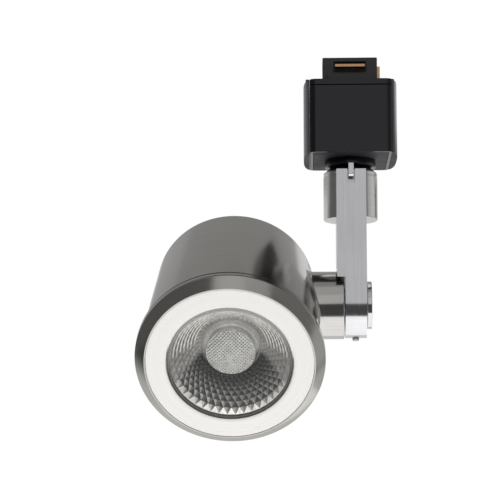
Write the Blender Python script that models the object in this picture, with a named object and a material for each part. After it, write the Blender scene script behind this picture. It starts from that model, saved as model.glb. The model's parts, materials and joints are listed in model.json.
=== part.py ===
"""Track spotlight: a line-voltage LED head on a swivel arm under a track adapter.

Metres, +Z up, +X along the track, -Y the way the light points at rest. The origin is on the
swivel axis, in the plane of the adapter's top face, which bears on the track.
Four bodies move: the arm turns about Z, the head about the pivot along X, and the two lock tabs
slide down.
"""
import math

import bmesh
import bpy
from mathutils import Matrix

MM = 0.001
GAP = 0.3 * MM

# Adapter
ADAPTER_WIDTH = 37.5 * MM
ADAPTER_DEPTH = 39.0 * MM
ADAPTER_HEIGHT = 29.5 * MM
END_BULGE = 5.8 * MM
END_POWER = 3.0
SEAM_X = 16.2 * MM
WALL = 2.0 * MM
PLATE = 2.2 * MM
BASE_Z = -ADAPTER_HEIGHT
NECK_WIDTH = 22.0 * MM
NECK_DEPTH = 12.5 * MM
NECK_HEIGHT = 12.0 * MM
NECK_ROOT_Z = -PLATE - 3.0 * MM
LUG_HALF_WIDTH = 9.0 * MM
LUG_REACH = 2.2 * MM
LUG_LOW = 2.4 * MM
LUG_HIGH = 5.0 * MM
CONTACT_HALF_WIDTH = 6.0 * MM
CONTACT_REACH = 3.0 * MM
CONTACT_LOW = 7.4 * MM
CONTACT_HIGH = 8.6 * MM
CONTACT_SLOT_LOW = 6.0 * MM
CONTACT_SLOT_HIGH = 10.3 * MM
GROUND_HALF_DEPTH = 3.0 * MM
GROUND_LOW = 1.3 * MM
GROUND_HIGH = 9.0 * MM
GROUND_REACH = 1.2 * MM
GROUND_SEAT = 1.3 * MM
PLATE_SCREW_X = 10.0 * MM
PLATE_SCREW_Y = 13.0 * MM
PLATE_SCREW_Z = -1.4 * MM
TERMINAL_HALF_WIDTH = 12.0 * MM
TERMINAL_HALF_DEPTH = 4.5 * MM
TERMINAL_LOW = -15.0 * MM
TERMINAL_SCREW_Z = -10.0 * MM
TERMINAL_PITCH = 7.5 * MM
TAB_TONGUE = 1.5 * MM
TAB_TONGUE_HALF_DEPTH = 4.5 * MM
TAB_TONGUE_TOP = 3.5 * MM
SPRING_LENGTH = 14.0 * MM
SPRING_WIDTH = 6.0 * MM
SPRING_LOW = -24.0 * MM

# Swivel
BOSS_RADIUS = 10.25 * MM
BOSS_HEIGHT = 2.7 * MM
SHOULDER_RADIUS = 9.6 * MM
STOP_RADIUS = 12.0 * MM
NIPPLE_RADIUS = 4.8 * MM
NIPPLE_BORE = 3.4 * MM
COLLAR_RADIUS = 10.85 * MM
COLLAR_TOP = -34.6 * MM
COLLAR_HEIGHT = 19.2 * MM
COLLAR_BORE = 7.6 * MM
COLLAR_ROOF = 5.2 * MM
COLLAR_FLOOR = 6.0 * MM
COLLAR_FLAT_INSET = 1.6 * MM
WIRE_BORE = 4.0 * MM
NIPPLE_DROP = 8.0 * MM
NUT_RADIUS = 7.8 * MM
RETAINER_RADIUS = 7.0 * MM
RETAINER_HEIGHT = 2.2 * MM
POST_RADIUS = 0.8 * MM

# Arm
ARM_LEFT = -5.8 * MM
ARM_RIGHT = 5.9 * MM
ARM_HALF_DEPTH = 13.1 * MM
ARM_TOP = -35.0 * MM
PIVOT_Z = -88.0 * MM
POCKET_DEPTH = 3.2 * MM
POCKET_RADIUS = 16.4 * MM
NOTCH_WIDTH = 3.0 * MM
NOTCH_DEPTH = 5.7 * MM
CHANNEL_LEFT = -3.2 * MM
CHANNEL_RIGHT = 3.4 * MM
CHANNEL_FRONT = -9.0 * MM
CHANNEL_LOW = PIVOT_Z + 17.5 * MM
CHANNEL_TOP = COLLAR_TOP - COLLAR_HEIGHT - 3.0 * MM
COVER_THICKNESS = 2.0 * MM
DROP_RADIUS = 2.4 * MM
DROP_X = 1.6 * MM
DROP_Y = 7.6 * MM
BOLT_RADIUS = 4.0 * MM
BOLT_BORE = 2.4 * MM
BOLT_HEAD = 2.4 * MM
BOLT_HEAD_RADIUS = 7.3 * MM
BOLT_END_X = -20.5 * MM
TENSION_X = 1.6 * MM
TENSION_RADIUS = 1.35 * MM
TENSION_DOME = 1.2 * MM
STOP_LUG_DROP = 3.0 * MM
STOP_LUG_RISE = 2.9 * MM
PIVOT_CAP_RADIUS = 9.5 * MM
PIVOT_CAP_THICKNESS = 1.8 * MM
WASHER = 0.4 * MM
WASHER_RADIUS = 9.0 * MM
LEAD_RADIUS = 0.85 * MM
LEAD_CIRCLE = 1.9 * MM
LEAD_LOW = -69.5 * MM
LEAD_TOP = -44.0 * MM
FAR = 20.0 * MM

# Head, in a frame on the pivot axis: u is the distance ahead of the pivot along the light's axis
TILT = math.radians(35.0)
HEAD_X = -46.8 * MM
BODY_FRONT_RADIUS = 34.6 * MM
BODY_REAR_RADIUS = 31.6 * MM
BODY_WALL = 2.4 * MM
BODY_REAR_U = -19.3 * MM
BODY_FRONT_U = 39.4 * MM
REAR_ROUND = 2.8 * MM
TRIM_RADIUS = 36.1 * MM
TRIM_FACE_RADIUS = 32.3 * MM
TRIM_BAND_U = 43.3 * MM
FACE_U = 46.6 * MM
TRIM_LIP = 0.25 * MM
SPIGOT_LENGTH = 4.5 * MM
DIFFUSER_DEPTH = 3.4 * MM
LENS_RADIUS = 23.9 * MM
OPTIC_RIM_U = FACE_U - 1.6 * MM
OPTIC_CURVE = 0.62
TRIM_INNER_RADIUS = 30.6 * MM
CHAMBER_RADIUS = 29.9 * MM
SPREADER_RADIUS = 29.9 * MM
WELL_RADIUS = 11.7 * MM
WELL_U = 32.0 * MM
CENTRE_LENS_RADIUS = 9.5 * MM
CENTRE_LENS_U = 38.3 * MM
KNUCKLE_RADIUS = 13.5 * MM
KNUCKLE_END_X = -3.4 * MM
SPREADER_BORE = 2.5 * MM
LIGHT_PLATE_U = WELL_U - 10.0 * MM
DRIVER_U = -4.0 * MM
DRIVER_BOARD = 1.6 * MM
DRIVER_RADIUS = 25.5 * MM

FINE_ROUND = 64
ROUND = 48
MEDIUM_ROUND = 40
SMALL_ROUND = 20
TINY_ROUND = 12


def clear_scene():
    for obj in list(bpy.data.objects):
        bpy.data.objects.remove(obj, do_unlink=True)


def make_material(name, colour, roughness, metallic=0.0, transmission=0.0):
    material = bpy.data.materials.new(name)
    material.use_nodes = True
    shader = material.node_tree.nodes["Principled BSDF"]
    shader.inputs["Base Color"].default_value = (*colour, 1.0)
    shader.inputs["Roughness"].default_value = roughness
    shader.inputs["Metallic"].default_value = metallic
    shader.inputs["Transmission Weight"].default_value = transmission
    return material


def make_empty(name, location=(0.0, 0.0, 0.0), parent=None, tilt=0.0):
    empty = bpy.data.objects.new(name, None)
    bpy.context.collection.objects.link(empty)
    empty.parent = parent
    empty.location = location
    empty.rotation_euler = (tilt, 0.0, 0.0)
    return empty


def add_object(name, mesh_builder, material, parent, matrix=None):
    """Turn a filled bmesh into an object whose mesh is placed by matrix in its parent's frame."""
    if matrix is not None:
        bmesh.ops.transform(mesh_builder, matrix=matrix, verts=mesh_builder.verts)
    bmesh.ops.recalc_face_normals(mesh_builder, faces=mesh_builder.faces)
    mesh = bpy.data.meshes.new(name)
    mesh_builder.to_mesh(mesh)
    mesh_builder.free()
    mesh.shade_smooth()
    mesh.set_sharp_from_angle(angle=math.radians(30.0))
    obj = bpy.data.objects.new(name, mesh)
    bpy.context.collection.objects.link(obj)
    obj.parent = parent
    if material is not None:
        mesh.materials.append(material)
    return obj


def lathe_mesh(profile, segments=ROUND):
    """Closed turned solid about Z from (radius, height) points; radius 0 makes a pole."""
    builder = bmesh.new()
    rings = []
    for radius, height in profile:
        if radius == 0.0:
            rings.append([builder.verts.new((0.0, 0.0, height))])
            continue
        ring = []
        for step in range(segments):
            angle = 2.0 * math.pi * step / segments
            ring.append(builder.verts.new((radius * math.cos(angle), radius * math.sin(angle), height)))
        rings.append(ring)
    closed = profile[0][0] > 0.0 and profile[-1][0] > 0.0
    last = len(rings) if closed else len(rings) - 1
    for index in range(last):
        bridge_rings(builder, rings[index], rings[(index + 1) % len(rings)], segments)
    return builder


def bridge_rings(builder, first, second, segments):
    for step in range(segments):
        after = (step + 1) % segments
        if len(first) == 1:
            builder.faces.new((first[0], second[step], second[after]))
        elif len(second) == 1:
            builder.faces.new((first[step], first[after], second[0]))
        else:
            builder.faces.new((first[step], first[after], second[after], second[step]))


def prism_mesh(outline, low, high):
    """Extrude an outline of (x, y) points from low to high."""
    builder = bmesh.new()
    bottom = [builder.verts.new((x, y, low)) for x, y in outline]
    face = builder.faces.new(bottom)
    result = bmesh.ops.extrude_face_region(builder, geom=[face])
    moved = [item for item in result["geom"] if isinstance(item, bmesh.types.BMVert)]
    bmesh.ops.translate(builder, verts=moved, vec=(0.0, 0.0, high - low))
    return builder


def box_mesh(low, high):
    outline = [(low[0], low[1]), (high[0], low[1]), (high[0], high[1]), (low[0], high[1])]
    return prism_mesh(outline, low[2], high[2])


def cylinder_mesh(radius, low, high, segments=SMALL_ROUND):
    return lathe_mesh([(0.0, low), (radius, low), (radius, high), (0.0, high)], segments)


def tube_mesh(outer, inner, low, high, segments=SMALL_ROUND):
    return lathe_mesh([(inner, low), (outer, low), (outer, high), (inner, high)], segments)


def cut(obj, mesh_builder, name, parent, matrix=None, operation="DIFFERENCE"):
    """Combine a hidden tool shape with obj through a Boolean."""
    tool = add_object(name, mesh_builder, None, parent, matrix)
    tool.hide_render = True
    tool.display_type = "WIRE"
    modifier = obj.modifiers.new(name, "BOOLEAN")
    modifier.operation = operation
    modifier.object = tool


def along_x(x=0.0, y=0.0, z=0.0):
    """A matrix that lays a turned part's axis along +X, starting at the given point."""
    return Matrix.Translation((x, y, z)) @ Matrix.Rotation(math.radians(90.0), 4, "Y")


def along_y(x=0.0, y=0.0, z=0.0):
    """A matrix that lays a turned part's axis along -Y, starting at the given point."""
    return Matrix.Translation((x, y, z)) @ Matrix.Rotation(math.radians(90.0), 4, "X")


def at(x, y, z):
    return Matrix.Translation((x, y, z))


def end_x(y, half_depth, bulge, flat):
    """X of the bulged end at depth y."""
    share = min(abs(y) / half_depth, 1.0)
    return flat + bulge * (1.0 - share ** END_POWER) ** (1.0 / END_POWER)


def end_y(x, half_depth, bulge, flat):
    """Depth of the bulged end's outline at x."""
    share = max((x - flat) / bulge, 0.0)
    return half_depth * (1.0 - share ** END_POWER) ** (1.0 / END_POWER)


def corner_points(x_from, x_to, inset=0.0, steps=7):
    """Points of the adapter's outline on the +X, -Y corner, from x_from outwards to x_to."""
    half_depth = ADAPTER_DEPTH / 2 - inset
    flat = ADAPTER_WIDTH / 2 - END_BULGE
    bulge = END_BULGE - inset
    start = math.asin(min(end_y(x_from, half_depth, bulge, flat) / half_depth, 1.0))
    stop = math.asin(end_y(x_to, half_depth, bulge, flat) / half_depth)
    points = []
    for step in range(steps + 1):
        depth = half_depth * math.sin(start + (stop - start) * step / steps)
        points.append((end_x(depth, half_depth, bulge, flat), -depth))
    return points


def middle_outline(seam, inset=0.0):
    """The adapter's outline between its two seams."""
    flat = ADAPTER_WIDTH / 2 - END_BULGE
    right = corner_points(flat, seam, inset, 4)
    quarter = right + [(x, -y) for x, y in reversed(right)]
    return quarter + [(-x, -y) for x, y in quarter]


def end_outline(seam, side, inset=0.0):
    """One end of the adapter, outside its seam; side is +1 for +X and -1 for -X."""
    tip = ADAPTER_WIDTH / 2 - inset
    right = corner_points(seam, tip, inset, 6)
    points = right + [(x, -y) for x, y in reversed(right[:-1])]
    return [(side * x, y) for x, y in points]


def screw_mesh(head_radius, head_height, shank_radius, shank_length):
    """A pan-head screw with a hexagon socket, standing on z = 0 with its shank down."""
    socket = head_radius * 0.5
    dome = head_height * 0.75
    profile = [
        (0.0, -shank_length), (shank_radius, -shank_length), (shank_radius, 0.0),
        (head_radius, 0.0), (head_radius, dome), (head_radius * 0.75, head_height),
        (socket, head_height), (socket, head_height * 0.4), (0.0, head_height * 0.4),
    ]
    return lathe_mesh(profile, TINY_ROUND)


def leaf_spring_mesh(length, width, rise, thickness, steps=8):
    """A bowed strip standing along Z on x = 0, bulging towards +X."""
    outline = []
    for step in range(steps + 1):
        share = step / steps
        outline.append((rise * math.sin(math.pi * share), length * share))
    outline += [(x + thickness, z) for x, z in reversed(outline)]
    builder = prism_mesh(outline, -width / 2, width / 2)
    turn = Matrix(((1, 0, 0, 0), (0, 0, 1, 0), (0, 1, 0, 0), (0, 0, 0, 1)))
    bmesh.ops.transform(builder, matrix=turn, verts=builder.verts)
    return builder


# ---------------------------------------------------------------- adapter

def build_adapter(materials, root):
    build_housing(materials, root)
    build_neck(materials, root)
    build_terminals(materials, root)
    for side, label in ((-1, "left"), (1, "right")):
        build_lock_tab(materials, side, label)
    build_swivel_boss(materials, root)


def build_housing(materials, root):
    seam = SEAM_X - GAP / 2
    housing = add_object("adapter_housing", prism_mesh(middle_outline(seam), BASE_Z, -PLATE - GAP),
                         materials["black"], root)
    inner = middle_outline(seam - WALL, WALL)
    cut(housing, prism_mesh(inner, BASE_Z + PLATE + GAP + WALL, 0.0), "housing_cavity_tool", root)
    recess = middle_outline(seam - WALL / 2, WALL / 2)
    cut(housing, prism_mesh(recess, BASE_Z - WALL, BASE_Z + PLATE + GAP), "housing_base_tool", root)
    cut(housing, cylinder_mesh(NIPPLE_RADIUS + GAP, BASE_Z - WALL, 0.0), "housing_bore_tool", root)

    base_outline = middle_outline(seam - WALL / 2 - GAP, WALL / 2 + GAP)
    base = add_object("adapter_base", prism_mesh(base_outline, BASE_Z, BASE_Z + PLATE),
                      materials["black_matte"], root)
    cut(base, cylinder_mesh(NIPPLE_RADIUS + GAP, BASE_Z - WALL, 0.0), "base_bore_tool", root)

    plate = add_object("adapter_top_plate", prism_mesh(middle_outline(seam), -PLATE, 0.0),
                       materials["black"], root)
    slot = box_mesh((-NECK_WIDTH / 2 - GAP, -NECK_DEPTH / 2 - GAP, -WALL * 2),
                    (NECK_WIDTH / 2 + GAP, NECK_DEPTH / 2 + GAP, WALL))
    cut(plate, slot, "plate_slot_tool", root)
    for index, side in enumerate((-1, 1), start=1):
        place = at(side * PLATE_SCREW_X, side * PLATE_SCREW_Y, PLATE_SCREW_Z)
        cut(plate, cylinder_mesh(2.4 * MM, -0.3 * MM, 4.0 * MM, TINY_ROUND),
            f"plate_sink_tool_{index}", root, place)
        cut(plate, cylinder_mesh(1.5 * MM, -4.0 * MM, 4.0 * MM, TINY_ROUND),
            f"plate_hole_tool_{index}", root, place)
        add_object(f"plate_screw_{index}", screw_mesh(2.0 * MM, 1.1 * MM, 1.2 * MM, 5.0 * MM),
                   materials["steel"], root, place)


def build_neck(materials, root):
    neck = add_object("track_neck", box_mesh((-NECK_WIDTH / 2, -NECK_DEPTH / 2, NECK_ROOT_Z),
                                             (NECK_WIDTH / 2, NECK_DEPTH / 2, NECK_HEIGHT)),
                      materials["black"], root)
    for index, (side, label) in enumerate(((-1, "live"), (1, "neutral")), start=1):
        face = side * NECK_DEPTH / 2
        lug_y = sorted((face - side * MM, face + side * LUG_REACH))
        lug = box_mesh((-LUG_HALF_WIDTH, lug_y[0], LUG_LOW), (LUG_HALF_WIDTH, lug_y[1], LUG_HIGH))
        cut(neck, lug, f"neck_lug_tool_{index}", root, operation="UNION")
        slot_half = CONTACT_HALF_WIDTH + GAP
        slot = box_mesh((-slot_half, lug_y[0] - MM, CONTACT_SLOT_LOW),
                        (slot_half, lug_y[1] + MM, CONTACT_SLOT_HIGH))
        cut(neck, slot, f"neck_contact_tool_{index}", root)
        blade_y = sorted((face - side * 0.7 * MM, face + side * CONTACT_REACH))
        blade = box_mesh((-CONTACT_HALF_WIDTH, blade_y[0], CONTACT_LOW),
                         (CONTACT_HALF_WIDTH, blade_y[1], CONTACT_HIGH))
        add_object(f"contact_{label}", blade, materials["copper"], root)
    end = NECK_WIDTH / 2
    slot = box_mesh((end - GROUND_SEAT - GAP, -GROUND_HALF_DEPTH - GAP, GROUND_LOW - GAP),
                    (end + GROUND_REACH, GROUND_HALF_DEPTH + GAP, GROUND_HIGH + GAP))
    cut(neck, slot, "neck_ground_tool", root)
    tongue = box_mesh((end - GROUND_SEAT, -GROUND_HALF_DEPTH, GROUND_LOW),
                      (end + GROUND_REACH, GROUND_HALF_DEPTH, GROUND_HIGH))
    add_object("contact_ground", tongue, materials["copper"], root)


def build_terminals(materials, root):
    top = NECK_ROOT_Z - GAP
    block = add_object("terminal_block",
                       box_mesh((-TERMINAL_HALF_WIDTH, -TERMINAL_HALF_DEPTH, TERMINAL_LOW),
                                (TERMINAL_HALF_WIDTH, TERMINAL_HALF_DEPTH, top)),
                       materials["white_plastic"], root)
    head_radius = 2.0 * MM
    head_bottom = -2.2 * MM
    socket_radius = 0.9 * MM
    socket_bottom = -1.2 * MM
    head_top = -0.4 * MM
    mouth_radius = 1.3 * MM
    mouth_depth = 3.0 * MM
    for index in range(3):
        x = (index - 1) * TERMINAL_PITCH
        place = along_y(x, -TERMINAL_HALF_DEPTH, TERMINAL_SCREW_Z)
        seat = cylinder_mesh(head_radius + 0.5 * MM, head_bottom - 0.4 * MM, MM, TINY_ROUND)
        cut(block, seat, f"terminal_tool_{index + 1}", root, place)
        screw = lathe_mesh([(0.0, head_bottom), (head_radius, head_bottom), (head_radius, head_top),
                            (socket_radius, head_top), (socket_radius, socket_bottom),
                            (0.0, socket_bottom)], TINY_ROUND)
        add_object(f"terminal_screw_{index + 1}", screw, materials["steel"], root, place)
        mouth = cylinder_mesh(mouth_radius, TERMINAL_LOW - MM, TERMINAL_LOW + mouth_depth, TINY_ROUND)
        cut(block, mouth, f"terminal_mouth_tool_{index + 1}", root, at(x, 1.8 * MM, 0.0))


def build_lock_tab(materials, side, label):
    seam = SEAM_X + GAP / 2
    slide = make_empty(f"slide_{label}", (side * seam, 0.0, 0.0))
    to_slide = at(-side * seam, 0.0, 0.0)
    tab = add_object(f"lock_tab_{label}", prism_mesh(end_outline(seam, side), BASE_Z, 0.0),
                     materials["black"], slide, to_slide)
    tongue_x = sorted((side * seam, side * (seam + TAB_TONGUE)))
    tongue = box_mesh((tongue_x[0], -TAB_TONGUE_HALF_DEPTH, -MM),
                      (tongue_x[1], TAB_TONGUE_HALF_DEPTH, TAB_TONGUE_TOP))
    cut(tab, tongue, f"tab_tongue_tool_{label}", slide, to_slide, "UNION")
    recess_x = sorted((side * (seam - MM), side * (seam + TAB_TONGUE)))
    recess_half = SPRING_WIDTH / 2 + 0.5 * MM
    recess = box_mesh((recess_x[0], -recess_half, SPRING_LOW - GAP),
                      (recess_x[1], recess_half, SPRING_LOW + SPRING_LENGTH + GAP))
    cut(tab, recess, f"tab_recess_tool_{label}", slide, to_slide)
    face = at(side * 0.1 * MM, 0.0, SPRING_LOW) @ Matrix.Scale(side, 4, (1, 0, 0))
    spring = leaf_spring_mesh(SPRING_LENGTH, SPRING_WIDTH, 0.8 * MM, 0.35 * MM)
    add_object(f"tab_spring_{label}", spring, materials["steel"], slide, face)


def build_swivel_boss(materials, root):
    top = BASE_Z - GAP
    low = top - BOSS_HEIGHT
    round_off = 0.6 * MM
    boss = lathe_mesh([(NIPPLE_RADIUS + GAP, low), (BOSS_RADIUS - round_off, low),
                       (BOSS_RADIUS, low + round_off), (BOSS_RADIUS, top), (NIPPLE_RADIUS + GAP, top)])
    add_object("swivel_boss", boss, materials["black"], root)
    shoulder_top = low - GAP
    shoulder_low = COLLAR_TOP + GAP
    shoulder = lathe_mesh([(NIPPLE_RADIUS + GAP, shoulder_low), (SHOULDER_RADIUS, shoulder_low),
                           (SHOULDER_RADIUS, shoulder_top - round_off),
                           (SHOULDER_RADIUS - round_off, shoulder_top), (NIPPLE_RADIUS + GAP, shoulder_top)])
    add_object("swivel_washer", shoulder, materials["black_matte"], root)

    post = cylinder_mesh(POST_RADIUS, low + 0.2 * MM, top, TINY_ROUND)
    add_object("stop_post", post, materials["steel"], root, at(0.0, STOP_RADIUS, 0.0))

    floor = BASE_Z + PLATE + GAP + WALL
    nipple_low = COLLAR_TOP - NIPPLE_DROP
    add_object("threaded_nipple", tube_mesh(NIPPLE_RADIUS, NIPPLE_BORE, nipple_low, floor + 5.0 * MM),
               materials["steel"], root)
    add_object("lock_washer", tube_mesh(NUT_RADIUS, NIPPLE_RADIUS + GAP, floor + GAP, floor + MM),
               materials["steel"], root)
    nut = add_object("nipple_nut", cylinder_mesh(NUT_RADIUS, floor + MM + GAP, floor + 4.4 * MM, 6),
                     materials["steel"], root)
    cut(nut, cylinder_mesh(NIPPLE_RADIUS + GAP, floor, 0.0), "nut_bore_tool", root)
    retainer = tube_mesh(RETAINER_RADIUS, NIPPLE_RADIUS + GAP, nipple_low, nipple_low + RETAINER_HEIGHT,
                         ROUND)
    add_object("retaining_nut", retainer, materials["steel"], root)


# ---------------------------------------------------------------- arm

def arm_outline(radius, top):
    """Side outline of the arm as (y, z), round about the pivot at its lower end."""
    points = [(radius, top), (-radius, top)]
    steps = 16
    for step in range(steps + 1):
        angle = math.pi * step / steps
        points.append((-radius * math.cos(angle), PIVOT_Z - radius * math.sin(angle)))
    return points


def pocket_outline():
    """Side outline of the pocket for the head's knuckle, round about the pivot at its top."""
    below = PIVOT_Z - 2.0 * POCKET_RADIUS
    points = [(-POCKET_RADIUS, below), (POCKET_RADIUS, below)]
    steps = 15
    for step in range(steps + 1):
        angle = math.pi * step / steps
        points.append((POCKET_RADIUS * math.cos(angle), PIVOT_Z + POCKET_RADIUS * math.sin(angle)))
    return points


def side_prism(outline, low_x, high_x):
    """Extrude a (y, z) outline from low_x to high_x."""
    turn = Matrix(((0, 0, 1, 0), (1, 0, 0, 0), (0, 1, 0, 0), (0, 0, 0, 1)))
    builder = prism_mesh(outline, low_x, high_x)
    bmesh.ops.transform(builder, matrix=turn, verts=builder.verts)
    return builder


def build_arm(materials, arm_axis):
    build_collar(materials, arm_axis)
    build_leads(materials, arm_axis)
    build_bar(materials, arm_axis)
    build_pivot_fittings(materials, arm_axis)


def build_bar(materials, arm_axis):
    """The flat bar: forked over the collar, hollow for the leads, pocketed for the head's knuckle."""
    arm = add_object("arm", side_prism(arm_outline(ARM_HALF_DEPTH, ARM_TOP), ARM_LEFT, ARM_RIGHT),
                     materials["nickel"], arm_axis)
    cut(arm, cylinder_mesh(TENSION_RADIUS + 0.25 * MM, -FAR, 0.0, TINY_ROUND), "tension_bore_tool",
        arm_axis, at(TENSION_X, 0.0, PIVOT_Z))
    prong = COLLAR_RADIUS - COLLAR_FLAT_INSET + GAP / 2
    fork = box_mesh((-FAR, -prong, COLLAR_TOP - COLLAR_HEIGHT - GAP), (FAR, prong, 0.0))
    cut(arm, fork, "fork_tool", arm_axis)
    notch = box_mesh((-NOTCH_WIDTH / 2, -FAR, ARM_TOP - NOTCH_DEPTH), (NOTCH_WIDTH / 2, 0.0, 0.0))
    cut(arm, notch, "notch_tool", arm_axis)
    pocket = side_prism(pocket_outline(), ARM_LEFT - 2.0 * MM, ARM_LEFT + POCKET_DEPTH)
    cut(arm, pocket, "pocket_tool", arm_axis)
    channel = box_mesh((CHANNEL_LEFT, CHANNEL_FRONT, CHANNEL_LOW), (CHANNEL_RIGHT, FAR, CHANNEL_TOP))
    cut(arm, channel, "channel_tool", arm_axis)
    cut(arm, cylinder_mesh(WIRE_BORE, PIVOT_Z + FAR, COLLAR_TOP), "wire_bore_tool", arm_axis)
    cut(arm, cylinder_mesh(DROP_RADIUS, PIVOT_Z, PIVOT_Z + FAR, TINY_ROUND), "wire_drop_tool", arm_axis,
        at(DROP_X, DROP_Y, 0.0))
    cut(arm, cylinder_mesh(BOLT_RADIUS + GAP, -FAR, FAR), "pivot_bore_tool", arm_axis,
        along_x(0.0, 0.0, PIVOT_Z))
    cut(arm, cylinder_mesh(BOLT_HEAD_RADIUS + GAP, 0.0, FAR), "bolt_head_tool", arm_axis,
        along_x(ARM_RIGHT - BOLT_HEAD, 0.0, PIVOT_Z))
    cover = box_mesh((CHANNEL_LEFT + GAP, ARM_HALF_DEPTH - COVER_THICKNESS, CHANNEL_LOW + GAP),
                     (CHANNEL_RIGHT - GAP, ARM_HALF_DEPTH, CHANNEL_TOP - GAP))
    add_object("arm_cover", cover, materials["nickel"], arm_axis)


def build_pivot_fittings(materials, arm_axis):
    lug_half = NOTCH_WIDTH / 2 - 0.4 * MM
    lug = box_mesh((-lug_half, -ARM_HALF_DEPTH + 0.2 * MM, ARM_TOP - STOP_LUG_DROP),
                   (lug_half, -COLLAR_RADIUS - GAP, ARM_TOP + STOP_LUG_RISE))
    add_object("stop_lug", lug, materials["steel"], arm_axis)

    edge = 0.6 * MM
    top = PIVOT_CAP_THICKNESS
    cap = lathe_mesh([(0.0, 0.0), (PIVOT_CAP_RADIUS, 0.0), (PIVOT_CAP_RADIUS, top - edge),
                      (PIVOT_CAP_RADIUS - edge, top), (0.0, top)], MEDIUM_ROUND)
    add_object("pivot_cap", cap, materials["nickel"], arm_axis, along_x(ARM_RIGHT + GAP, 0.0, PIVOT_Z))

    dome_low = -ARM_HALF_DEPTH - TENSION_DOME
    screw_top = -BOLT_RADIUS - 2 * GAP
    screw = lathe_mesh([(0.0, dome_low), (TENSION_RADIUS * 0.67, dome_low),
                        (TENSION_RADIUS, dome_low + 0.5 * MM), (TENSION_RADIUS, screw_top),
                        (0.0, screw_top)], TINY_ROUND)
    add_object("tension_screw", screw, materials["steel"], arm_axis, at(TENSION_X, 0.0, PIVOT_Z))

    pocket_floor = ARM_LEFT + POCKET_DEPTH
    washer_x = (KNUCKLE_END_X + pocket_floor - WASHER) / 2
    add_object("friction_washer", tube_mesh(WASHER_RADIUS, BOLT_RADIUS + GAP, 0.0, WASHER, MEDIUM_ROUND),
               materials["black_matte"], arm_axis, along_x(washer_x, 0.0, PIVOT_Z))


def build_leads(materials, arm_axis):
    """Three supply leads down the middle of the swivel and into the arm's channel."""
    for index, label in enumerate(("live", "neutral", "ground")):
        angle = 2.0 * math.pi * index / 3
        lead = cylinder_mesh(LEAD_RADIUS, LEAD_LOW, LEAD_TOP, 8)
        add_object(f"lead_{label}", lead, materials[f"lead_{label}"], arm_axis,
                   at(LEAD_CIRCLE * math.cos(angle), LEAD_CIRCLE * math.sin(angle), 0.0))


def build_collar(materials, arm_axis):
    low = COLLAR_TOP - COLLAR_HEIGHT
    edge = 0.5 * MM
    groove = COLLAR_TOP - 1.6 * MM
    roof = COLLAR_TOP - COLLAR_ROOF
    floor = low + COLLAR_FLOOR
    collar = lathe_mesh([
        (WIRE_BORE, low), (COLLAR_RADIUS - edge, low), (COLLAR_RADIUS, low + edge),
        (COLLAR_RADIUS, groove - 0.2 * MM), (COLLAR_RADIUS - 0.35 * MM, groove),
        (COLLAR_RADIUS, groove + 0.2 * MM), (COLLAR_RADIUS, COLLAR_TOP - edge),
        (COLLAR_RADIUS - edge, COLLAR_TOP), (NIPPLE_RADIUS + GAP, COLLAR_TOP),
        (NIPPLE_RADIUS + GAP, roof), (COLLAR_BORE, roof), (COLLAR_BORE, floor), (WIRE_BORE, floor)])
    obj = add_object("collar", collar, materials["nickel"], arm_axis)
    flat = COLLAR_RADIUS - COLLAR_FLAT_INSET - GAP
    for index, side in enumerate((-1, 1), start=1):
        reach = sorted((side * flat, side * FAR))
        slot = box_mesh((ARM_LEFT - GAP, reach[0], low - MM), (ARM_RIGHT + GAP, reach[1], 0.0))
        cut(obj, slot, f"collar_slot_tool_{index}", arm_axis)


# ---------------------------------------------------------------- head

def head_matrix():
    """Lay a turned part's axis along the light's axis; its height becomes u."""
    return along_y(HEAD_X, 0.0, 0.0)


def rear_round(radius, rear_u, steps=5):
    points = []
    for step in range(steps + 1):
        angle = 0.5 * math.pi * step / steps
        points.append((radius - REAR_ROUND + REAR_ROUND * math.sin(angle),
                       rear_u + REAR_ROUND - REAR_ROUND * math.cos(angle)))
    return points


def build_head(materials, head_axis):
    build_shell(materials, head_axis)
    build_trim(materials, head_axis)
    build_optic(materials, head_axis)
    build_light_engine(materials, head_axis)
    build_driver(materials, head_axis)
    build_pivot_bolt(materials, head_axis)


def build_shell(materials, head_axis):
    outer = rear_round(BODY_REAR_RADIUS, BODY_REAR_U)
    inner_rear = BODY_REAR_U + BODY_WALL
    profile = [(0.0, BODY_REAR_U)] + outer + [
        (BODY_FRONT_RADIUS, BODY_FRONT_U), (BODY_FRONT_RADIUS - BODY_WALL, BODY_FRONT_U),
        (BODY_REAR_RADIUS - BODY_WALL, inner_rear + 1.5 * MM),
        (BODY_REAR_RADIUS - BODY_WALL - 1.5 * MM, inner_rear), (0.0, inner_rear)]
    shell = add_object("head_shell", lathe_mesh(profile), materials["nickel"], head_axis, head_matrix())
    root_x = HEAD_X + BODY_REAR_RADIUS - 1.0 * MM
    end = KNUCKLE_END_X
    edge = 0.6 * MM
    knuckle = lathe_mesh([(0.0, root_x), (KNUCKLE_RADIUS, root_x), (KNUCKLE_RADIUS, end - edge),
                          (KNUCKLE_RADIUS - edge, end), (0.0, end)], 40)
    cut(shell, knuckle, "knuckle_tool", head_axis, along_x(), "UNION")
    cut(shell, cylinder_mesh(BOLT_RADIUS + GAP, root_x - 10.0 * MM, 0.0), "knuckle_bore_tool", head_axis,
        along_x())


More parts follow.
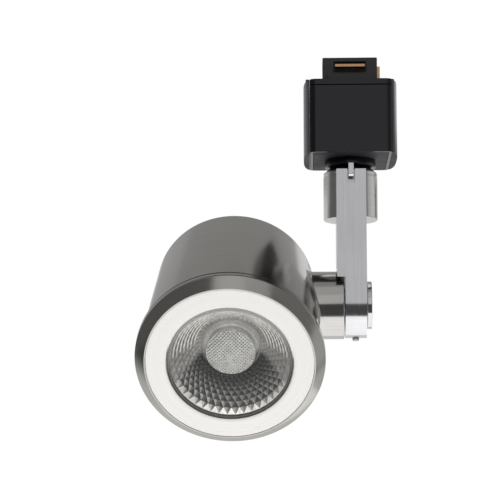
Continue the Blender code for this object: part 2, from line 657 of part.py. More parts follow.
def build_trim(materials, head_axis):
    spigot_outer = BODY_FRONT_RADIUS - BODY_WALL - 2 * GAP
    spigot_u = BODY_FRONT_U - SPIGOT_LENGTH
    seat_u = FACE_U - DIFFUSER_DEPTH
    lip = TRIM_FACE_RADIUS - TRIM_LIP
    trim = lathe_mesh([
        (lip, FACE_U), (TRIM_FACE_RADIUS, FACE_U), (TRIM_RADIUS, TRIM_BAND_U),
        (TRIM_RADIUS, BODY_FRONT_U + 2 * GAP), (TRIM_RADIUS - GAP, BODY_FRONT_U + GAP),
        (spigot_outer, BODY_FRONT_U + GAP), (spigot_outer, spigot_u), (TRIM_INNER_RADIUS, spigot_u),
        (TRIM_INNER_RADIUS, seat_u), (lip, seat_u)], FINE_ROUND)
    add_object("front_trim", trim, materials["nickel"], head_axis, head_matrix())
    outer = lip - GAP
    inner = LENS_RADIUS + GAP
    ring = lathe_mesh([(inner, seat_u + GAP), (outer, seat_u + GAP), (outer, FACE_U - GAP),
                       (outer - GAP, FACE_U), (inner, FACE_U)], FINE_ROUND)
    add_object("diffuser_ring", ring, materials["frosted"], head_axis, head_matrix())


def optic_radius(u):
    """Radius of the optic's curved wall at u, from the well up to the rim."""
    share = (u - WELL_U) / (OPTIC_RIM_U - WELL_U)
    return WELL_RADIUS + (LENS_RADIUS - 1.0 * MM - WELL_RADIUS) * share ** OPTIC_CURVE


def build_optic(materials, head_axis):
    steps = 5
    wall = 1.0 * MM
    levels = [WELL_U + (OPTIC_RIM_U - WELL_U) * (step / steps) ** 1.5 for step in range(steps + 1)]
    inner = [(optic_radius(u), u) for u in levels]
    outer = [(optic_radius(u) + wall, u) for u in reversed(levels)]
    add_object("lens_optic", lathe_mesh(inner + outer, 36), materials["clear"], head_axis, head_matrix())
    build_cover(materials, head_axis)
    build_centre_lens(materials, head_axis)
    build_holder(materials, head_axis)


def build_cover(materials, head_axis):
    """The clear front cover and the dark rim that holds it."""
    seat = LENS_RADIUS - 0.7 * MM
    lip = LENS_RADIUS - 1.5 * MM
    cover_low = OPTIC_RIM_U + 2 * GAP
    cover_top = cover_low + 0.7 * MM
    lip_low = cover_top + GAP / 2
    rim_top = FACE_U - 0.1 * MM
    rim = lathe_mesh([
        (seat, OPTIC_RIM_U + GAP), (LENS_RADIUS, OPTIC_RIM_U + GAP), (LENS_RADIUS, rim_top),
        (LENS_RADIUS - 0.5 * MM, rim_top), (lip, lip_low + 0.25 * MM), (lip, lip_low),
        (seat, lip_low)], ROUND)
    add_object("lens_rim", rim, materials["grey_plastic"], head_axis, head_matrix())
    add_object("lens_cover", cylinder_mesh(seat - GAP, cover_low, cover_top, ROUND), materials["clear"],
               head_axis, head_matrix())


def build_centre_lens(materials, head_axis):
    bottom = WELL_U - 1.0 * MM
    shoulder_u = CENTRE_LENS_U - 0.8 * MM
    shoulder = CENTRE_LENS_RADIUS - 1.2 * MM
    lens = lathe_mesh([(0.0, bottom), (CENTRE_LENS_RADIUS, bottom), (CENTRE_LENS_RADIUS, shoulder_u),
                       (shoulder, CENTRE_LENS_U), (0.0, CENTRE_LENS_U)], 36)
    add_object("centre_lens", lens, materials["clear"], head_axis, head_matrix())


def build_holder(materials, head_axis):
    """The stepped ring under the optic, and the white wall behind the diffuser."""
    low = WELL_U - 4.0 * MM
    flange = low + 2.0 * MM
    top = WELL_U - 1.3 * MM
    bore = CENTRE_LENS_RADIUS - 1.5 * MM
    hub = WELL_RADIUS + 3.8 * MM
    holder = lathe_mesh([(bore, low), (CHAMBER_RADIUS, low), (CHAMBER_RADIUS, flange), (hub, flange),
                         (hub, top), (bore, top)], MEDIUM_ROUND)
    add_object("optic_holder", holder, materials["white_plastic"], head_axis, head_matrix())
    wall = tube_mesh(CHAMBER_RADIUS, CHAMBER_RADIUS - 1.5 * MM, flange + GAP, FACE_U - DIFFUSER_DEPTH,
                     MEDIUM_ROUND)
    add_object("mixing_chamber", wall, materials["white_plastic"], head_axis, head_matrix())


def build_light_engine(materials, head_axis):
    """Heat spreader, pad, LED board and emitter, stacked on the light's axis."""
    top = LIGHT_PLATE_U
    spreader = tube_mesh(SPREADER_RADIUS, SPREADER_BORE, top - 3.0 * MM, top, MEDIUM_ROUND)
    add_object("heat_spreader", spreader, materials["aluminium"], head_axis, head_matrix())
    pad = tube_mesh(13.0 * MM, SPREADER_BORE, top + GAP, top + 0.8 * MM, SMALL_ROUND)
    add_object("thermal_pad", pad, materials["white_plastic"], head_axis, head_matrix())
    board_top = top + 2.7 * MM
    board = add_object("led_board", cylinder_mesh(12.5 * MM, top + 1.1 * MM, board_top, SMALL_ROUND),
                       materials["aluminium"], head_axis, head_matrix())
    emitter = cylinder_mesh(5.6 * MM, board_top + GAP, board_top + 1.5 * MM, SMALL_ROUND)
    add_object("led_emitter", emitter, materials["phosphor"], head_axis, head_matrix())
    for index, side in enumerate((1, -1), start=1):
        offset = at(side * 10.0 * MM, 0.0, 0.0)
        cut(board, cylinder_mesh(1.1 * MM, top - MM, top + 5.0 * MM, TINY_ROUND),
            f"board_hole_tool_{index}", head_axis, head_matrix() @ offset)
        seat = at(0.0, 0.0, board_top + GAP)
        add_object(f"board_screw_{index}", screw_mesh(1.7 * MM, 1.0 * MM, 0.8 * MM, 1.5 * MM),
                   materials["steel"], head_axis, head_matrix() @ offset @ seat)


def build_driver(materials, head_axis):
    """The driver's board and its three tallest components."""
    board = cylinder_mesh(DRIVER_RADIUS, DRIVER_U, DRIVER_U + DRIVER_BOARD, 32)
    add_object("driver_board", board, materials["green"], head_axis, head_matrix())
    top = DRIVER_U + DRIVER_BOARD + GAP
    capacitor = cylinder_mesh(5.0 * MM, top, top + 15.0 * MM)
    inductor = tube_mesh(6.5 * MM, 2.2 * MM, top, top + 9.0 * MM)
    bridge = box_mesh((-5.0 * MM, -4.0 * MM, top), (5.0 * MM, 4.0 * MM, top + 4.0 * MM))
    for label, builder, material, x, y in (
            ("capacitor", capacitor, "black_matte", -12.0 * MM, 8.0 * MM),
            ("inductor", inductor, "copper", 8.0 * MM, 10.0 * MM),
            ("bridge", bridge, "black_matte", 0.0, -12.0 * MM)):
        add_object(f"driver_{label}", builder, materials[material], head_axis, head_matrix() @ at(x, y, 0.0))


def build_pivot_bolt(materials, head_axis):
    head_low = ARM_RIGHT - BOLT_HEAD + GAP
    head_top = ARM_RIGHT - GAP
    bolt = lathe_mesh([
        (BOLT_BORE, BOLT_END_X), (BOLT_RADIUS, BOLT_END_X), (BOLT_RADIUS, head_low),
        (BOLT_HEAD_RADIUS, head_low), (BOLT_HEAD_RADIUS, head_top), (BOLT_BORE, head_top)])
    add_object("pivot_bolt", bolt, materials["steel"], head_axis, along_x())


def make_materials():
    return {
        "black": make_material("black_plastic", (0.022, 0.022, 0.024), 0.22),
        "black_matte": make_material("black_matte_plastic", (0.04, 0.04, 0.042), 0.6),
        "nickel": make_material("brushed_nickel", (0.52, 0.51, 0.49), 0.3, 1.0),
        "steel": make_material("zinc_steel", (0.6, 0.6, 0.6), 0.35, 1.0),
        "aluminium": make_material("bare_aluminium", (0.75, 0.75, 0.76), 0.4, 1.0),
        "copper": make_material("copper_alloy", (0.75, 0.42, 0.22), 0.35, 1.0),
        "white_plastic": make_material("white_plastic", (0.85, 0.85, 0.83), 0.5),
        "frosted": make_material("frosted_acrylic", (0.9, 0.9, 0.89), 0.55),
        "clear": make_material("clear_acrylic", (0.95, 0.95, 0.95), 0.05, 0.0, 1.0),
        "grey_plastic": make_material("dark_grey_plastic", (0.12, 0.12, 0.12), 0.4),
        "phosphor": make_material("led_phosphor", (0.85, 0.62, 0.18), 0.6),
        "lead_live": make_material("black_insulation", (0.03, 0.03, 0.03), 0.5),
        "lead_neutral": make_material("white_insulation", (0.8, 0.8, 0.78), 0.5),
        "lead_ground": make_material("green_insulation", (0.05, 0.3, 0.1), 0.5),
        "green": make_material("circuit_board", (0.05, 0.2, 0.09), 0.5),
    }


def main():
    clear_scene()
    materials = make_materials()
    root = make_empty("adapter_root")
    arm_axis = make_empty("swivel_axis")
    head_axis = make_empty("pivot_axis", (0.0, 0.0, PIVOT_Z), arm_axis, TILT)
    build_adapter(materials, root)
    build_arm(materials, arm_axis)
    build_head(materials, head_axis)


main()
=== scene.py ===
"""Looks of the track spotlight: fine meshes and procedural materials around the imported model.

Metres, +Z up, +X along the track, and the light points towards -Y and 35 degrees down at rest.
Turned pieces are made about their own Z axis and then placed, so their brushing follows them.
"""
import json
import math

import bmesh
import bpy
from mathutils import Matrix, Vector


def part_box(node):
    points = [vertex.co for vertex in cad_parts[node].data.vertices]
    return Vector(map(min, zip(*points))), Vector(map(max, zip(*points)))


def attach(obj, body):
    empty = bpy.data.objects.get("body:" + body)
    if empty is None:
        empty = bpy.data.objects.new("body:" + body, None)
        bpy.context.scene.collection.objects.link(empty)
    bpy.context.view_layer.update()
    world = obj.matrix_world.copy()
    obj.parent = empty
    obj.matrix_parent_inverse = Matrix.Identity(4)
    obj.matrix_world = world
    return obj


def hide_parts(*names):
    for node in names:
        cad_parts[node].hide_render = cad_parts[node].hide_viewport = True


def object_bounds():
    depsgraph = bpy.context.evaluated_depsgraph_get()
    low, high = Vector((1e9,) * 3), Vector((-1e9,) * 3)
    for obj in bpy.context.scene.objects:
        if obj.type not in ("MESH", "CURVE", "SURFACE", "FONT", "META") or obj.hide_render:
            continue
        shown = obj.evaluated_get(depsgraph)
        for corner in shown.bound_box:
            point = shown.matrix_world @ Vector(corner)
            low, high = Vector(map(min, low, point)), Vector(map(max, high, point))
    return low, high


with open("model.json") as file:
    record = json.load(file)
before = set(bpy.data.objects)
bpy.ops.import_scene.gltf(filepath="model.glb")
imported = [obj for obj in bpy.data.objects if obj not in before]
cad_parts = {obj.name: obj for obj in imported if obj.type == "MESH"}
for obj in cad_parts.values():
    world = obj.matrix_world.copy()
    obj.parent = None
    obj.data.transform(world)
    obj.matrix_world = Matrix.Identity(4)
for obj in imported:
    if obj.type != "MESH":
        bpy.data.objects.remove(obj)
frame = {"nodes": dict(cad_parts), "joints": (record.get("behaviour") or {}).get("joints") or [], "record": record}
CAD_LOW, CAD_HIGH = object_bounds()

NODES = frame["nodes"]
JOINTS = {joint["name"]: joint for joint in frame["joints"]}
PIVOT = Vector(JOINTS["head_tilt"]["pos_m"])

# points round a turned piece
FINE = 192
MEDIUM = 48
COARSE = 40

# sizes that the frame doesn't give, in metres
MM = 0.001
POLE = 1e-7
BEYOND = 20 * MM              # how far a cutter reaches past what it cuts
BODY_WALL = 2.4 * MM
TRIM_SPIGOT = 4.5 * MM        # the part of the trim that sits inside the body
TRIM_BORE = 30.6 * MM
KNUCKLE_RADIUS = 13.5 * MM
KNUCKLE_FLARE = 1.7 * MM
KNUCKLE_BORE = 5.3 * MM
CUP_FOOT_RADIUS = 11.7 * MM
LENSLET_PITCH = 1.0 * MM
POCKET_RADIUS = 16.4 * MM
CAP_SEAT_RADIUS = 7.6 * MM
BOLT_HOLE_RADIUS = 4.3 * MM
WIRE_HOLE_RADIUS = 4.0 * MM
SWIVEL_BORE = 5.1 * MM        # hole for the threaded nipple
ADAPTER_CORNER = 5.8 * MM     # length of the adapter's rounded ends
ADAPTER_POWER = 3.0           # their squareness: 2 is an ellipse
ADAPTER_LIP = 1.15 * MM
FLOOR_HALF = 0.35
FLOOR_DROP = 0.30
FLOOR_GLOW = 0.86

# studio cards: azimuth from, to and softness in degrees (0 towards the camera, 90 is +X), sine of the
# elevation from, to and softness, and level
BASE_LEVEL = 0.06
CARDS = (
    (-200.0, 200.0, 1.0, 0.82, 1.10, 0.20, 0.28),
    (-15.0, 12.0, 2.0, 0.00, 0.48, 0.05, 0.56),
    (-14.0, 34.0, 3.0, 0.10, 0.85, 0.08, 0.44),
    (-115.0, -25.0, 10.0, -0.30, 0.85, 0.10, 0.12),
    (40.0, 78.0, 6.0, -0.70, 0.70, 0.10, 0.20),
    (35.0, 50.0, 8.0, -0.65, -0.08, 0.05, 0.45),
    (80.0, 104.0, 4.0, -0.52, 0.32, 0.08, 0.50),
    (98.0, 122.0, 10.0, 0.05, 0.35, 0.08, 0.60),
    (112.0, 140.0, 8.0, -0.75, 0.00, 0.10, 0.60),
    (150.0, 200.0, 14.0, -0.70, 0.16, 0.08, 0.68),
    (-200.0, -126.0, 28.0, -0.74, 0.16, 0.08, 0.68),
    (140.0, 200.0, 12.0, 0.22, 0.385, 0.03, 0.80),
    (135.0, 200.0, 10.0, 0.38, 0.62, 0.06, 0.37),
    (130.0, 200.0, 10.0, 0.55, 0.85, 0.08, 0.33),
    (-200.0, -110.0, 15.0, 0.14, 0.52, 0.10, 0.40),
    (-200.0, -110.0, 15.0, 0.45, 0.85, 0.10, 0.33),
    (-200.0, 200.0, 1.0, -1.10, -0.74, 0.05, 1.70),
)

# a ragged dark wedge among the cards, which the side of the head reflects: azimuths in degrees,
# heights as the sine of the elevation
WEDGE_BACK = 138.0
WEDGE_TIP = 155.5
WEDGE_MIDDLE = 0.685
WEDGE_SLOPE = 1.2
WEDGE_SOFT = 0.012
WEDGE_DEPTH = 0.55
WEDGE_RAGGED = 0.10


# ---- measures taken from the frame

def centre_of(node):
    low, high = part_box(node)
    return (low + high) / 2


LIGHT_AXIS = (centre_of("lens_cover") - centre_of("led_emitter")).normalized()
HEAD_X = centre_of("lens_cover").x
HEAD = (Matrix.Translation((HEAD_X, PIVOT.y, PIVOT.z))
        @ LIGHT_AXIS.to_track_quat("Z", "X").to_matrix().to_4x4())
SWIVEL = Matrix.Identity(4)
PIVOT_FRAME = Matrix.Translation(PIVOT) @ Matrix.Rotation(math.radians(90.0), 4, "Y")


def turned_points(node, placement):
    """(radius, height) of a node's points in a turned piece's own frame."""
    inverse = placement.inverted()
    points = []
    for vertex in NODES[node].data.vertices:
        local = inverse @ vertex.co
        points.append((math.hypot(local.x, local.y), local.z))
    return points


def turned_span(node, placement):
    """Lowest height, highest height and largest radius of a turned node."""
    points = turned_points(node, placement)
    heights = [height for _, height in points]
    return min(heights), max(heights), max(radius for radius, _ in points)


# ---- mesh helpers

def add_object(name, data):
    obj = bpy.data.objects.new(name, data)
    bpy.context.scene.collection.objects.link(obj)
    return obj


def new_object(name, builder, materials, placement=None, sharp=35.0):
    """An object at the origin whose mesh is moved into place."""
    if placement is not None:
        bmesh.ops.transform(builder, matrix=placement, verts=builder.verts)
    bmesh.ops.recalc_face_normals(builder, faces=builder.faces)
    mesh = bpy.data.meshes.new(name)
    builder.to_mesh(mesh)
    builder.free()
    for material in materials if isinstance(materials, list) else [materials]:
        mesh.materials.append(material)
    obj = add_object(name, mesh)
    if sharp:
        shade(obj, sharp)
    return obj


def place(obj, body, nodes):
    """Hang a finished piece on its body and hide the nodes that it stands for."""
    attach(obj, body)
    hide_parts(*nodes)


def round_profile(points, steps):
    """(radius, height, fillet) corners to a smooth list of (radius, height)."""
    result = []
    count = len(points)
    for index, (radius, height, fillet) in enumerate(points):
        here = Vector((radius, height))
        before = Vector(points[index - 1][:2]) - here
        after = Vector(points[(index + 1) % count][:2]) - here
        if not fillet or before.length == 0.0 or after.length == 0.0:
            result.append((radius, height))
            continue
        half = before.angle(after) / 2
        reach = min(fillet / math.tan(half), before.length * 0.49, after.length * 0.49)
        start = here + before.normalized() * reach
        end = here + after.normalized() * reach
        for step in range(steps + 1):
            share = step / steps
            blend = start.lerp(here, share).lerp(here.lerp(end, share), share)
            result.append((max(blend.x, 0.0), blend.y))
    return result


def circle(builder, radius, height, segments, shift=0.0):
    """A ring of points about Z, turned by shift steps."""
    ring = []
    for step in range(segments):
        angle = 2 * math.pi * (step + shift) / segments
        ring.append(builder.verts.new((radius * math.cos(angle), radius * math.sin(angle), height)))
    return ring


def lathe(profile, segments):
    """Turned solid about Z. A profile that starts and ends on radius 0 is closed by poles."""
    builder = bmesh.new()
    rings = []
    for radius, height in profile:
        if radius < POLE:
            rings.append([builder.verts.new((0.0, 0.0, height))])
        else:
            rings.append(circle(builder, radius, height, segments))
    closed = len(rings[0]) > 1 and len(rings[-1]) > 1
    for index in range(len(rings) if closed else len(rings) - 1):
        bridge(builder, rings[index], rings[(index + 1) % len(rings)], segments)
    return builder


def bridge(builder, first, second, segments):
    """Faces between two rings, either of which may be a single point."""
    for step in range(segments):
        after = (step + 1) % segments
        if len(first) == 1:
            builder.faces.new((first[0], second[step], second[after]))
        elif len(second) == 1:
            builder.faces.new((first[step], first[after], second[0]))
        else:
            builder.faces.new((first[step], first[after], second[after], second[step]))


def prism(outline, low, high):
    builder = bmesh.new()
    face = builder.faces.new([builder.verts.new((x, y, low)) for x, y in outline])
    made = bmesh.ops.extrude_face_region(builder, geom=[face])["geom"]
    moved = [item for item in made if isinstance(item, bmesh.types.BMVert)]
    bmesh.ops.translate(builder, verts=moved, vec=(0.0, 0.0, high - low))
    return builder


def block(low, high):
    return prism([(low[0], low[1]), (high[0], low[1]), (high[0], high[1]), (low[0], high[1])],
                 low[2], high[2])


def side_prism(outline, low_x, high_x):
    """Extrude a (y, z) outline along X."""
    builder = prism(outline, low_x, high_x)
    turn = Matrix(((0, 0, 1, 0), (1, 0, 0, 0), (0, 1, 0, 0), (0, 0, 0, 1)))
    bmesh.ops.transform(builder, matrix=turn, verts=builder.verts)
    return builder


def rod(radius, low, high, segments=COARSE):
    return lathe([(0.0, low), (radius, low), (radius, high), (0.0, high)], segments)


def turned_piece(name, corners, material, placement, sharp=30.0, steps=5, segments=FINE):
    """A turned piece from (radius, height, fillet) corners."""
    return new_object(name, lathe(round_profile(corners, steps), segments), material, placement, sharp)


def shade(obj, angle):
    """Smooth shading that keeps edges sharper than the angle."""
    obj.data.shade_smooth()
    obj.data.set_sharp_from_angle(angle=math.radians(angle))


def apply_modifiers(obj):
    graph = bpy.context.evaluated_depsgraph_get()
    mesh = bpy.data.meshes.new_from_object(obj.evaluated_get(graph), depsgraph=graph)
    obj.modifiers.clear()
    obj.data = mesh


def carve(obj, tools):
    """Cut each (builder, placement) out of obj."""
    made = []
    for builder, placement in tools:
        tool = new_object("tool", builder, obj.data.materials[0], placement, 0.0)
        made.append(tool)
        modifier = obj.modifiers.new("cut", "BOOLEAN")
        modifier.object = tool
    bpy.context.view_layer.update()
    apply_modifiers(obj)
    for tool in made:
        bpy.data.objects.remove(tool, do_unlink=True)


def soften(obj, width, segments, angle):
    """Round the edges of a machined or moulded piece."""
    modifier = obj.modifiers.new("edges", "BEVEL")
    modifier.width = width
    modifier.segments = segments
    modifier.limit_method = "ANGLE"
    modifier.angle_limit = math.radians(angle)
    modifier.use_clamp_overlap = True
    even = obj.modifiers.new("normals", "WEIGHTED_NORMAL")
    even.keep_sharp = True
    obj.data.shade_smooth()
    bpy.context.view_layer.update()
    apply_modifiers(obj)


# ---- materials

class Tree:
    """A short way to add nodes to a node tree."""

    def __init__(self, tree):
        self.tree = tree

    def add(self, kind, inputs=None, **settings):
        node = self.tree.nodes.new(kind)
        for key, value in settings.items():
            setattr(node, key, value)
        for key, value in (inputs or {}).items():
            self.feed(node.inputs[key], value)
        return node

    def feed(self, socket, value):
        if isinstance(value, bpy.types.NodeSocket):
            self.tree.links.new(value, socket)
        else:
            socket.default_value = value

    def math(self, operation, first, second=0.0):
        return self.add("ShaderNodeMath", {0: first, 1: second}, operation=operation).outputs[0]

    def times(self, first, *others):
        for other in others:
            first = self.math("MULTIPLY", first, other)
        return first

    def split(self, vector):
        return self.add("ShaderNodeSeparateXYZ", {0: vector}).outputs

    def combine(self, x, y, z):
        return self.add("ShaderNodeCombineXYZ", {0: x, 1: y, 2: z}).outputs[0]

    def noise(self, vector, scale, detail=2.0, roughness=0.5):
        return self.add("ShaderNodeTexNoise", {"Vector": vector, "Scale": scale, "Detail": detail,
                                               "Roughness": roughness}).outputs[0]

    def remap(self, value, low, high, from_low=0.0, from_high=1.0, curve="LINEAR"):
        return self.add("ShaderNodeMapRange", {0: value, 1: from_low, 2: from_high, 3: low, 4: high},
                        interpolation_type=curve).outputs[0]

    def window(self, value, low, high, soft):
        """1 between low and high, falling to 0 over soft on either side."""
        rise = self.remap(value, 0.0, 1.0, low - soft, low, "SMOOTHSTEP")
        fall = self.remap(value, 1.0, 0.0, high, high + soft, "SMOOTHSTEP")
        return self.times(rise, fall)

    def mix(self, share, first, second):
        return self.add("ShaderNodeMix", {0: share, 2: first, 3: second}).outputs[0]


class Nodes(Tree):
    """The nodes of a Principled material."""

    SOCKETS = {"colour": "Base Color", "rough": "Roughness", "metal": "Metallic", "normal": "Normal",
               "aniso": "Anisotropic", "tangent": "Tangent", "glow": "Emission Color",
               "glow_strength": "Emission Strength"}

    def __init__(self, name):
        self.material = bpy.data.materials.new(name)
        self.material.use_nodes = True
        super().__init__(self.material.node_tree)
        self.shader = self.tree.nodes["Principled BSDF"]
        self.output = self.tree.nodes["Material Output"]

    def tint(self, value, dark, light):
        return self.add("ShaderNodeMix", {0: value, 6: (*dark, 1.0), 7: (*light, 1.0)},
                        data_type="RGBA").outputs[2]

    def bump(self, height, strength, distance):
        return self.add("ShaderNodeBump", {"Height": height, "Strength": strength,
                                           "Distance": distance}).outputs[0]

    def surface(self, **values):
        for key, value in values.items():
            self.feed(self.shader.inputs[self.SOCKETS[key]], value)
        return self.material

    def position(self, placement=None):
        """Where a point is on its piece, in the frame that placement moved into place."""
        point = self.add("ShaderNodeTexCoord").outputs["Object"]
        if placement is None:
            return point
        inputs = {"Vector": point, "Location": placement.to_translation(), "Rotation": placement.to_euler()}
        return self.add("ShaderNodeMapping", inputs, vector_type="TEXTURE").outputs[0]

    def distance(self, x, y):
        """How far a point is from the Z axis."""
        return self.math("SQRT", self.math("ADD", self.times(x, x), self.times(y, y)))

    def round_tangent(self, x, y, placement):
        """World direction that runs round the placement's Z axis."""
        tangent = self.combine(self.times(y, -1.0), x, 0.0)
        turned = self.add("ShaderNodeMapping", {"Vector": tangent, "Rotation": placement.to_euler()},
                          vector_type="VECTOR").outputs[0]
        return self.add("ShaderNodeVectorTransform", {"Vector": turned}, vector_type="VECTOR",
                        convert_from="OBJECT", convert_to="WORLD").outputs[0]


def brushed_nickel(name, style, dark=(0.50, 0.487, 0.46), light=(0.57, 0.556, 0.528), rough=0.17,
                   aniso=0.6, placement=Matrix.Identity(4)):
    """Satin nickel, brushed round the placement's Z axis, along it ("long") or along X ("across")."""
    nodes = Nodes(name)
    x, y, z = nodes.split(nodes.position(placement))
    if style == "round":
        grain = nodes.combine(nodes.distance(x, y), z, nodes.times(nodes.math("ARCTAN2", y, x), 0.0006))
    elif style == "long":
        grain = nodes.combine(x, y, nodes.times(z, 0.02))
    else:
        grain = nodes.combine(nodes.times(x, 0.02), y, z)
    fine = nodes.noise(grain, 9000.0, 2.0, 0.6)
    broad = nodes.noise(grain, 1800.0)
    scratch = nodes.mix(0.6, fine, broad)
    cloud = nodes.noise(nodes.position(), 60.0)
    mixed = nodes.mix(0.3, scratch, cloud)
    values = {
        "colour": nodes.tint(nodes.remap(mixed, 0.0, 1.0, 0.3, 0.7), dark, light),
        "rough": nodes.remap(mixed, rough - 0.05, rough + 0.06, 0.3, 0.7),
        "metal": 1.0,
        "aniso": aniso,
        "normal": nodes.bump(scratch, 0.10, 0.00004),
    }
    if style == "round":
        values["tangent"] = nodes.round_tangent(x, y, placement)
    return nodes.surface(**values)


def polished_metal(name, colour, rough=0.18):
    nodes = Nodes(name)
    wear = nodes.noise(nodes.position(), 900.0, 3.0, 0.6)
    worn = [channel * 0.85 for channel in colour]
    return nodes.surface(colour=nodes.tint(wear, worn, colour), metal=1.0,
                         rough=nodes.remap(wear, rough - 0.05, rough + 0.08, 0.3, 0.7),
                         normal=nodes.bump(wear, 0.06, 0.00005))


def moulded_plastic(name, colour, rough, grain=2600.0, depth=0.00003, strength=0.15, glow=0.0):
    """Injection-moulded plastic with a faint grain and a slow drift in gloss."""
    nodes = Nodes(name)
    texture = nodes.noise(nodes.position(), grain, 3.0, 0.55)
    drift = nodes.noise(nodes.position(), 70.0)
    dark = [channel * 0.88 for channel in colour]
    light = [min(channel * 1.08, 1.0) for channel in colour]
    return nodes.surface(colour=nodes.tint(drift, dark, light),
                         rough=nodes.remap(drift, rough * 0.85, rough * 1.15, 0.3, 0.7),
                         normal=nodes.bump(texture, strength, depth),
                         glow=(1.0, 1.0, 1.0, 1.0), glow_strength=glow)


def frosted_acrylic(name):
    nodes = Nodes(name)
    x, y, _ = nodes.split(nodes.position(HEAD))
    rings = nodes.noise(nodes.combine(nodes.distance(x, y), 0.0, 0.0), 700.0, 1.0, 0.4)
    frost = nodes.noise(nodes.position(), 5000.0, 3.0, 0.6)
    share = nodes.remap(rings, 0.0, 1.0, 0.35, 0.65)
    # The glow is painted light that makes the ring brighter than its colour alone.
    return nodes.surface(colour=nodes.tint(share, (0.80, 0.79, 0.76), (0.86, 0.85, 0.82)),
                         rough=nodes.remap(frost, 0.42, 0.58), normal=nodes.bump(frost, 0.12, 0.00003),
                         glow=(1.0, 0.99, 0.96, 1.0), glow_strength=0.36)


def clear_window(name):
    """Thin clear sheet: see-through, with a reflection that grows towards grazing angles."""
    nodes = Nodes(name)
    smudge = nodes.noise(nodes.position(), 160.0)
    clear = nodes.add("ShaderNodeBsdfTransparent", {"Color": (0.97, 0.975, 0.97, 1.0)})
    gloss = nodes.add("ShaderNodeBsdfGlossy", {"Color": (1.0, 1.0, 1.0, 1.0),
                                               "Roughness": nodes.remap(smudge, 0.02, 0.06)})
    entering = nodes.math("SUBTRACT", 1.0, nodes.add("ShaderNodeNewGeometry").outputs["Backfacing"])
    edge = nodes.times(nodes.add("ShaderNodeFresnel", {"IOR": 1.45}).outputs[0], entering)
    mix = nodes.add("ShaderNodeMixShader", {0: edge, 1: clear.outputs[0], 2: gloss.outputs[0]})
    nodes.tree.links.new(mix.outputs[0], nodes.output.inputs[0])
    return nodes.material


def painted_shade_hill(nodes, up, across):
    """0 in a hill-shaped zone of painted shade below the light axis, and 1 above it, where the light is painted.
    """
    slope = nodes.times(nodes.math("SUBTRACT", nodes.math("ABSOLUTE", across), 8.0 * MM), 0.75)
    depth = nodes.math("SUBTRACT", nodes.times(up, -1.0), slope)
    return nodes.remap(depth, 1.0, 0.0, -1.5 * MM, 1.5 * MM)


def painted_arcs_and_crown(nodes, up, across, radius, share):
    """Painted reflections: fine bright arcs in the upper sides of the cup, and painted light on a lighter crown.
    """
    wave = nodes.math("SINE", nodes.times(radius, 2.0 * math.pi / (1.25 * MM)))
    shoulder = nodes.times(nodes.remap(up, 0.0, 1.0, 0.0, 4.0 * MM),
                           nodes.remap(nodes.math("ABSOLUTE", across), 0.0, 1.0, 7.0 * MM, 12.0 * MM),
                           nodes.remap(radius, 0.0, 1.0, 13.0 * MM, 15.0 * MM))
    arcs = nodes.times(shoulder, nodes.remap(wave, -0.12, 1.35, -0.2, 1.0))
    crown = nodes.times(share, nodes.remap(up, 0.0, 0.50, 9.0 * MM, 21.0 * MM))
    return nodes.math("ADD", arcs, nodes.math("MAXIMUM", crown, 0.0))


def facet_with_painted_light(name, below, above, rough=0.32, fade=(0.20, 1.8)):
    """Facets behind clear acrylic, coloured with painted shade below the hill's edge, painted light above it and a
    painted glow. The level below the hill's edge fades with the radius.
    """
    nodes = Nodes(name)
    up, across, _ = nodes.split(nodes.position(HEAD))
    radius = nodes.distance(up, across)
    share = painted_shade_hill(nodes, up, across)
    deep = nodes.times(below, nodes.remap(radius, *fade, 14.5 * MM, 22.5 * MM))
    level = nodes.math("ADD", nodes.mix(share, deep, above), painted_arcs_and_crown(nodes, up, across, radius, share))
    drift = nodes.noise(nodes.position(), 420.0)
    level = nodes.times(level, nodes.remap(drift, 0.85, 1.15, 0.3, 0.7))
    colour = nodes.tint(level, (0.0, 0.0, 0.0), (1.0, 0.975, 0.94))
    # The colour is painted reflection, and its glow in the same colour is painted light.
    return nodes.surface(colour=colour, metal=1.0, normal=nodes.bump(drift, 0.05, 0.0001),
                         rough=nodes.remap(drift, rough * 0.7, rough * 1.3, 0.3, 0.7),
                         glow=colour, glow_strength=0.35)


def shaded_rim(name):
    """Stepped grey rim with painted shade, darker on its ledges than between them, and painted light towards its
    upper side.
    """
    nodes = Nodes(name)
    up, across, _ = nodes.split(nodes.position(HEAD))
    ledge_radius = turned_span("lens_rim", HEAD)[2] - 0.75 * MM
    away = nodes.math("ABSOLUTE", nodes.math("SUBTRACT", nodes.distance(up, across), ledge_radius))
    ledge = nodes.remap(away, 0.26, 0.05, 0.15 * MM, 0.40 * MM)
    share = nodes.math("ADD", ledge, nodes.remap(up, 0.0, 0.75, -4.0 * MM, 18.0 * MM))
    drift = nodes.noise(nodes.position(), 420.0)
    return nodes.surface(colour=nodes.tint(share, (0.03, 0.03, 0.03), (0.60, 0.60, 0.58)),
                         rough=nodes.remap(drift, 0.22, 0.32, 0.3, 0.7))


NICKEL_ROUND = brushed_nickel("nickel_round", "round", placement=HEAD)
NICKEL_TRIM = brushed_nickel("nickel_trim", "round", rough=0.17, aniso=0.4, placement=HEAD)
NICKEL_CAP = brushed_nickel("nickel_cap", "round", (0.68, 0.67, 0.65), (0.78, 0.77, 0.75), 0.12, 0.2,
                            PIVOT_FRAME)
